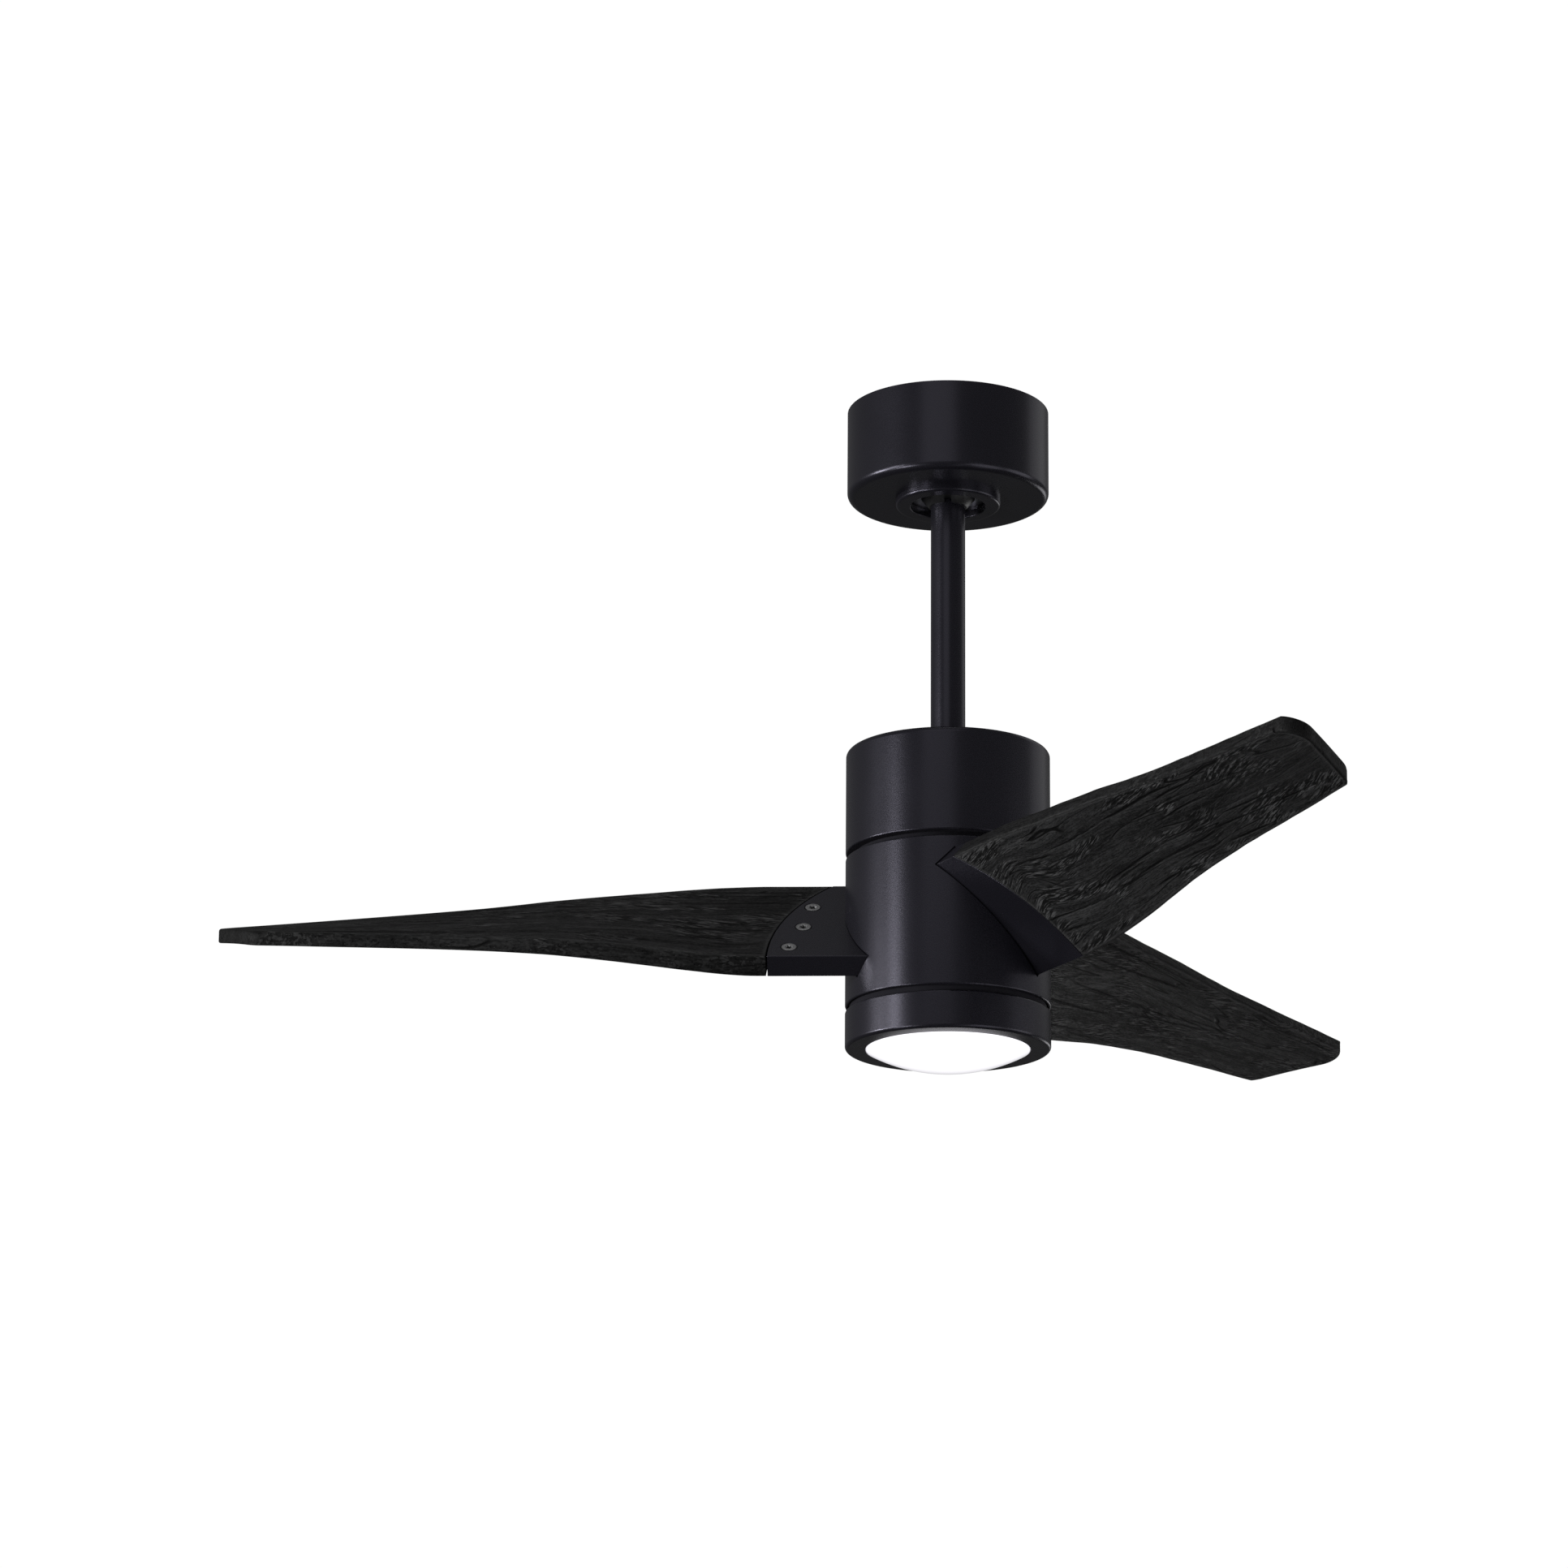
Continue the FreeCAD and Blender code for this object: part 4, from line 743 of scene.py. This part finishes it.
def black_wood():
    """Stained, wire-brushed wood: fibres, open pores, long dark cracks and patches of raised ripples,
    with painted highlights and shade.
    """
    look = Look("black_wood")
    grain = look.attribute("grain", "Vector")
    groove = look.attribute("groove")
    edge = look.attribute("edge")
    end = look.attribute("end")
    # Slow drift across the grain, which bends all the finer lines together.
    drift = look.noise(look.stretched(grain, (9.0, 26.0, 9.0)), 1.0, 2.0)
    sway = look.node("ShaderNodeCombineXYZ", [("Y", look.math("MULTIPLY", drift, 0.012))]).outputs[0]
    bent = look.node("ShaderNodeVectorMath", [(0, grain), (1, sway)], operation="ADD").outputs[0]
    fibres = look.noise(look.stretched(bent, (45.0, 1100.0, 600.0)), 1.0, 3.0, 0.65)
    bands = look.noise(look.stretched(bent, (6.0, 110.0, 40.0)), 1.0, 3.0, 0.55)
    # Raised ripples run a little across the grain and come in patches.
    ripples = look.noise(look.stretched(bent, (85.0, 1150.0, 300.0), (0, 0, 0.20)), 1.0, 2.0, 0.6)
    patches = look.spread(look.noise(look.stretched(bent, (17.0, 58.0, 20.0)), 1.0, 2.0), 0.47, 0.60)
    # Level lines of a slow figure give the long dark cracks, and painted highlights on the lips beside
    # them.
    figure = look.noise(look.stretched(bent, (4.2, 48.0, 20.0), shift=(0.3, 0.1, 0)), 1.0, 2.0, 0.45)
    rings = look.math("PINGPONG", look.math("MULTIPLY", figure, 7.0), 0.5)
    breaks = look.noise(look.stretched(bent, (9.0, 60.0, 30.0), shift=(0.7, 0.2, 0)), 1.0, 2.0)
    broken = look.spread(breaks, 0.44, 0.56)
    cracks = look.math("MULTIPLY", look.spread(rings, 0.075, 0.02), broken)
    lit_lip = look.math("MULTIPLY", look.spread(rings, 0.19, 0.10), broken)
    pores = look.spread(look.noise(look.stretched(bent, (130.0, 1500.0, 600.0)), 1.0, 1.0), 0.60, 0.66)
    cut = look.spread(groove, 0.15, 0.8)
    deep = look.math("MAXIMUM", cracks, look.math("MAXIMUM", look.math("MULTIPLY", pores, 0.7), cut))
    pepper = look.noise(look.stretched(bent, (430.0, 1250.0, 600.0)), 1.0, 2.0, 0.6)
    tone = look.math("MULTIPLY_ADD", fibres, 0.40, look.math("MULTIPLY", bands, 0.30))
    tone = look.math("MULTIPLY_ADD", pepper, 0.30, tone)
    wood = look.colours(tone, [(0.42, (0.0034, 0.0034, 0.0035)), (0.50, (0.0235, 0.0235, 0.0240)),
                               (0.60, (0.0520, 0.0520, 0.0530))])
    strokes = look.spread(ripples, 0.455, 0.575)
    # The ripples' crests and troughs are painted in as highlights and shade, on top of their relief.
    shade = look.colours(strokes, [(0.0, (0.0004, 0.0004, 0.0004)), (0.50, (0.0135, 0.0135, 0.0138)),
                                   (1.0, (0.120, 0.120, 0.122))])
    patches = look.math("MULTIPLY", patches, look.math("SUBTRACT", 1.0, end))
    wood = look.mixed(look.math("MULTIPLY", patches, 0.85), wood, shade)
    # Painted highlight on the lips beside the cracks.
    wood = look.mixed(look.math("MULTIPLY", lit_lip, 0.30), wood, (0.045, 0.045, 0.046))
    # Cracks, pores and cut grooves darkened to near black: partly the stain they hold, partly painted
    # shade in these hollows.
    wood = look.mixed(look.math("MULTIPLY", deep, 0.95), wood, (0.0006, 0.0006, 0.0006))
    # Painted highlight along the rims' rounding.
    wood = look.mixed(look.math("MULTIPLY", edge, 0.6), wood, (0.075, 0.075, 0.076))
    wood = look.mixed(look.math("MULTIPLY", end, 0.75), wood, (0.0016, 0.0016, 0.0016))
    look.plug(wood, "Base Color")
    look.plug(look.spread(tone, 0.4, 0.6, 0.66, 0.50, False), "Roughness")
    height = look.math("MULTIPLY_ADD", fibres, 0.20, look.math("MULTIPLY", bands, 0.25))
    height = look.math("MULTIPLY_ADD", strokes, look.math("MULTIPLY_ADD", patches, 0.75, 0.05), height)
    height = look.math("MULTIPLY_ADD", deep, -1.0, height)
    look.bumps(height, 0.0009, 1.0)
    look.set(Specular_IOR_Level=0.18)
    return look.material


def opal_lens():
    """Frosted opal cover lit from behind, a little dimmer towards its rim."""
    look = Look("opal_lens")
    here = look.place()
    flat = look.stretched(here, (1.0, 1.0, 0.0))
    away = look.node("ShaderNodeVectorMath", [(0, flat)], operation="LENGTH").outputs["Value"]
    cloud = look.noise(here, 60.0, 2.0)
    away = look.math("MULTIPLY_ADD", cloud, 0.0006, away)
    rim = look.spread(away, 0.050, 0.062, smooth=False)
    glow = [(0.0, (0.972, 0.958, 1.0)), (0.72, (0.955, 0.942, 0.985)), (1.0, (0.52, 0.51, 0.56))]
    look.plug(look.colours(rim, glow), "Emission Color")
    look.plug(look.spread(look.noise(here, 900.0, 2.0), 0.3, 0.7, 0.42, 0.52), "Roughness")
    look.bumps(look.noise(here, 1200.0, 2.0), 0.00004, 0.4)
    look.set(Base_Color=(0.55, 0.55, 0.56, 1), Emission_Strength=1.5, Coat_Weight=1.0, Coat_IOR=1.8,
             Coat_Roughness=0.15)
    return look.material


def speckled(name, dark, light, roughness, metallic=0.0, scale=300.0, relief=0.00005, stretch=(1, 1, 1)):
    """Finish with two tones, uneven gloss and fine relief; stretch draws it out into brushing."""
    look = Look(name)
    here = look.stretched(look.place(), stretch)
    fine = look.noise(here, scale, 4.0, 0.6)
    slow = look.noise(look.place(), 35.0, 3.0)
    tone = look.math("MULTIPLY_ADD", fine, 0.6, look.math("MULTIPLY", slow, 0.4))
    look.plug(look.colours(tone, [(0.30, dark), (0.70, light)]), "Base Color")
    look.plug(look.spread(tone, 0.3, 0.7, roughness[0], roughness[1], False), "Roughness")
    look.bumps(fine, relief, 0.7)
    look.set(Metallic=metallic)
    return look


def screw_steel():
    """Mottled grey zinc on the screw heads, with painted shade, black, at the rim where the countersink's
    gap is and in the recess.
    """
    look = Look("screw_steel")
    here = look.place()
    fine = look.noise(here, 1100.0, 4.0, 0.6)
    painted_shade = look.attribute("painted_shade")
    zinc = look.colours(fine, [(0.30, (0.20, 0.20, 0.205)), (0.70, (0.58, 0.58, 0.59))])
    # Painted shade: black where the countersink's gap and the recess are.
    look.plug(look.mixed(painted_shade, zinc, (0.004, 0.004, 0.004)), "Base Color")
    look.plug(look.spread(fine, 0.3, 0.7, 0.46, 0.28, False), "Roughness")
    look.plug(look.math("MULTIPLY_ADD", painted_shade, -0.8, 0.8), "Metallic")
    look.bumps(fine, 0.00012, 0.7)
    return look.material


def copper_wire():
    """Enamelled wire, its turns showing as fine ribs."""
    look = Look("copper_wire")
    here = look.place()
    waves = [("Vector", here), ("Scale", 260.0), ("Distortion", 0.6), ("Detail", 1.0)]
    wound = look.node("ShaderNodeTexWave", waves, wave_type="BANDS", bands_direction="Z")
    turns = wound.outputs["Fac"]
    copper = look.colours(turns, [(0.0, (0.10, 0.028, 0.012)), (1.0, (0.52, 0.20, 0.085))])
    look.plug(copper, "Base Color")
    look.plug(look.spread(look.noise(here, 250.0), 0.3, 0.7, 0.25, 0.42), "Roughness")
    look.bumps(turns, 0.0004, 0.8)
    look.set(Metallic=0.6)
    return look.material


def lamination_steel():
    """Stack of thin varnished steel sheets."""
    look = Look("lamination_steel")
    here = look.place()
    waves = [("Vector", here), ("Scale", 320.0), ("Distortion", 0.2)]
    stack = look.node("ShaderNodeTexWave", waves, wave_type="BANDS", bands_direction="Z")
    sheets = stack.outputs["Fac"]
    steel = look.colours(sheets, [(0.0, (0.030, 0.030, 0.032)), (1.0, (0.115, 0.115, 0.120))])
    look.plug(steel, "Base Color")
    look.plug(look.spread(look.noise(here, 400.0), 0.3, 0.7, 0.36, 0.56), "Roughness")
    look.bumps(sheets, 0.0002, 0.6)
    look.set(Metallic=0.8)
    return look.material


def circuit_board(name, base, track):
    """Solder mask with raised tracks and bright pads under it."""
    look = Look(name)
    here = look.place()
    cells = look.node("ShaderNodeTexVoronoi", [("Vector", here), ("Scale", 260.0)], distance="CHEBYCHEV",
                      feature="F1").outputs["Distance"]
    paths = look.spread(cells, 0.34, 0.40)
    pads = look.spread(cells, 0.10, 0.07)
    colour = look.mixed(paths, base, track)
    colour = look.mixed(pads, colour, (0.55, 0.52, 0.46))
    look.plug(colour, "Base Color")
    look.plug(look.spread(look.noise(here, 500.0), 0.3, 0.7, 0.28, 0.40), "Roughness")
    look.bumps(look.math("ADD", paths, pads), 0.00005, 0.8)
    return look.material


def lead_insulation():
    """Insulated wires, each a different dull colour."""
    look = speckled("lead_insulation", (0.04, 0.04, 0.04), (0.07, 0.07, 0.07), (0.42, 0.55), scale=700.0)
    around = look.node("ShaderNodeSeparateXYZ", [("Vector", look.place())])
    side = look.spread(around.outputs["X"], -0.004, 0.004, smooth=False)
    colours = [(0.0, (0.55, 0.54, 0.52)), (0.5, (0.03, 0.03, 0.03)), (1.0, (0.05, 0.22, 0.07))]
    look.plug(look.colours(side, colours), "Base Color")
    return look.material


# Plain finishes: darker tone, lighter tone, roughness of each, metallic, speckles' scale and
# the relief's depth in metres.
PLAIN = {
    "zinc_steel": ((0.36, 0.37, 0.39), (0.60, 0.61, 0.64), (0.24, 0.40), 1.0, 380.0, 0.00004),
    "ball_plastic": ((0.010, 0.010, 0.011), (0.020, 0.020, 0.022), (0.34, 0.48), 0.0, 650.0, 0.00006),
    "aluminium": ((0.46, 0.47, 0.48), (0.66, 0.67, 0.68), (0.36, 0.52), 1.0, 520.0, 0.00010),
    "magnet": ((0.030, 0.030, 0.033), (0.065, 0.065, 0.070), (0.45, 0.65), 0.3, 420.0, 0.00008),
    "components": ((0.020, 0.020, 0.023), (0.052, 0.052, 0.060), (0.35, 0.55), 0.0, 450.0, 0.00006),
    "lamp": ((0.80, 0.62, 0.20), (0.92, 0.78, 0.36), (0.25, 0.40), 0.0, 900.0, 0.00004),
    "gasket": ((0.50, 0.50, 0.49), (0.64, 0.64, 0.63), (0.55, 0.70), 0.0, 350.0, 0.00006),
}


def make_materials():
    """Every material slot's look."""
    looks = {
        "black_metal": black_metal(),
        "black_wood": black_wood(),
        "opal_lens": opal_lens(),
        "screw_steel": screw_steel(),
        "copper_wire": copper_wire(),
        "lamination_steel": lamination_steel(),
        "circuit_board": circuit_board("circuit_board", (0.012, 0.075, 0.03), (0.02, 0.13, 0.05)),
        "white_board": circuit_board("white_board", (0.74, 0.74, 0.72), (0.80, 0.80, 0.78)),
        "lead_insulation": lead_insulation(),
    }
    for name, finish in PLAIN.items():
        looks[name] = speckled(name, *finish).material
    ground = speckled("bearing_steel", (0.55, 0.55, 0.57), (0.74, 0.74, 0.77), (0.10, 0.20), 1.0, 500.0,
                      0.00001, (1, 1, 12))
    looks["bearing_steel"] = ground.material
    return looks


make_camera()
make_stage()
make_air()
make_lights()
looks = make_materials()
pieces = [make_blade(number, angle) for number, angle in enumerate(BLADE_ANGLES, 1)]
for piece in pieces:
    piece.data.materials.append(looks["black_wood"])
make_screws().data.materials.append(looks["screw_steel"])
for name, node in nodes.items():
    node.data.materials.clear()
    node.data.materials.append(looks[slot_of[name]])
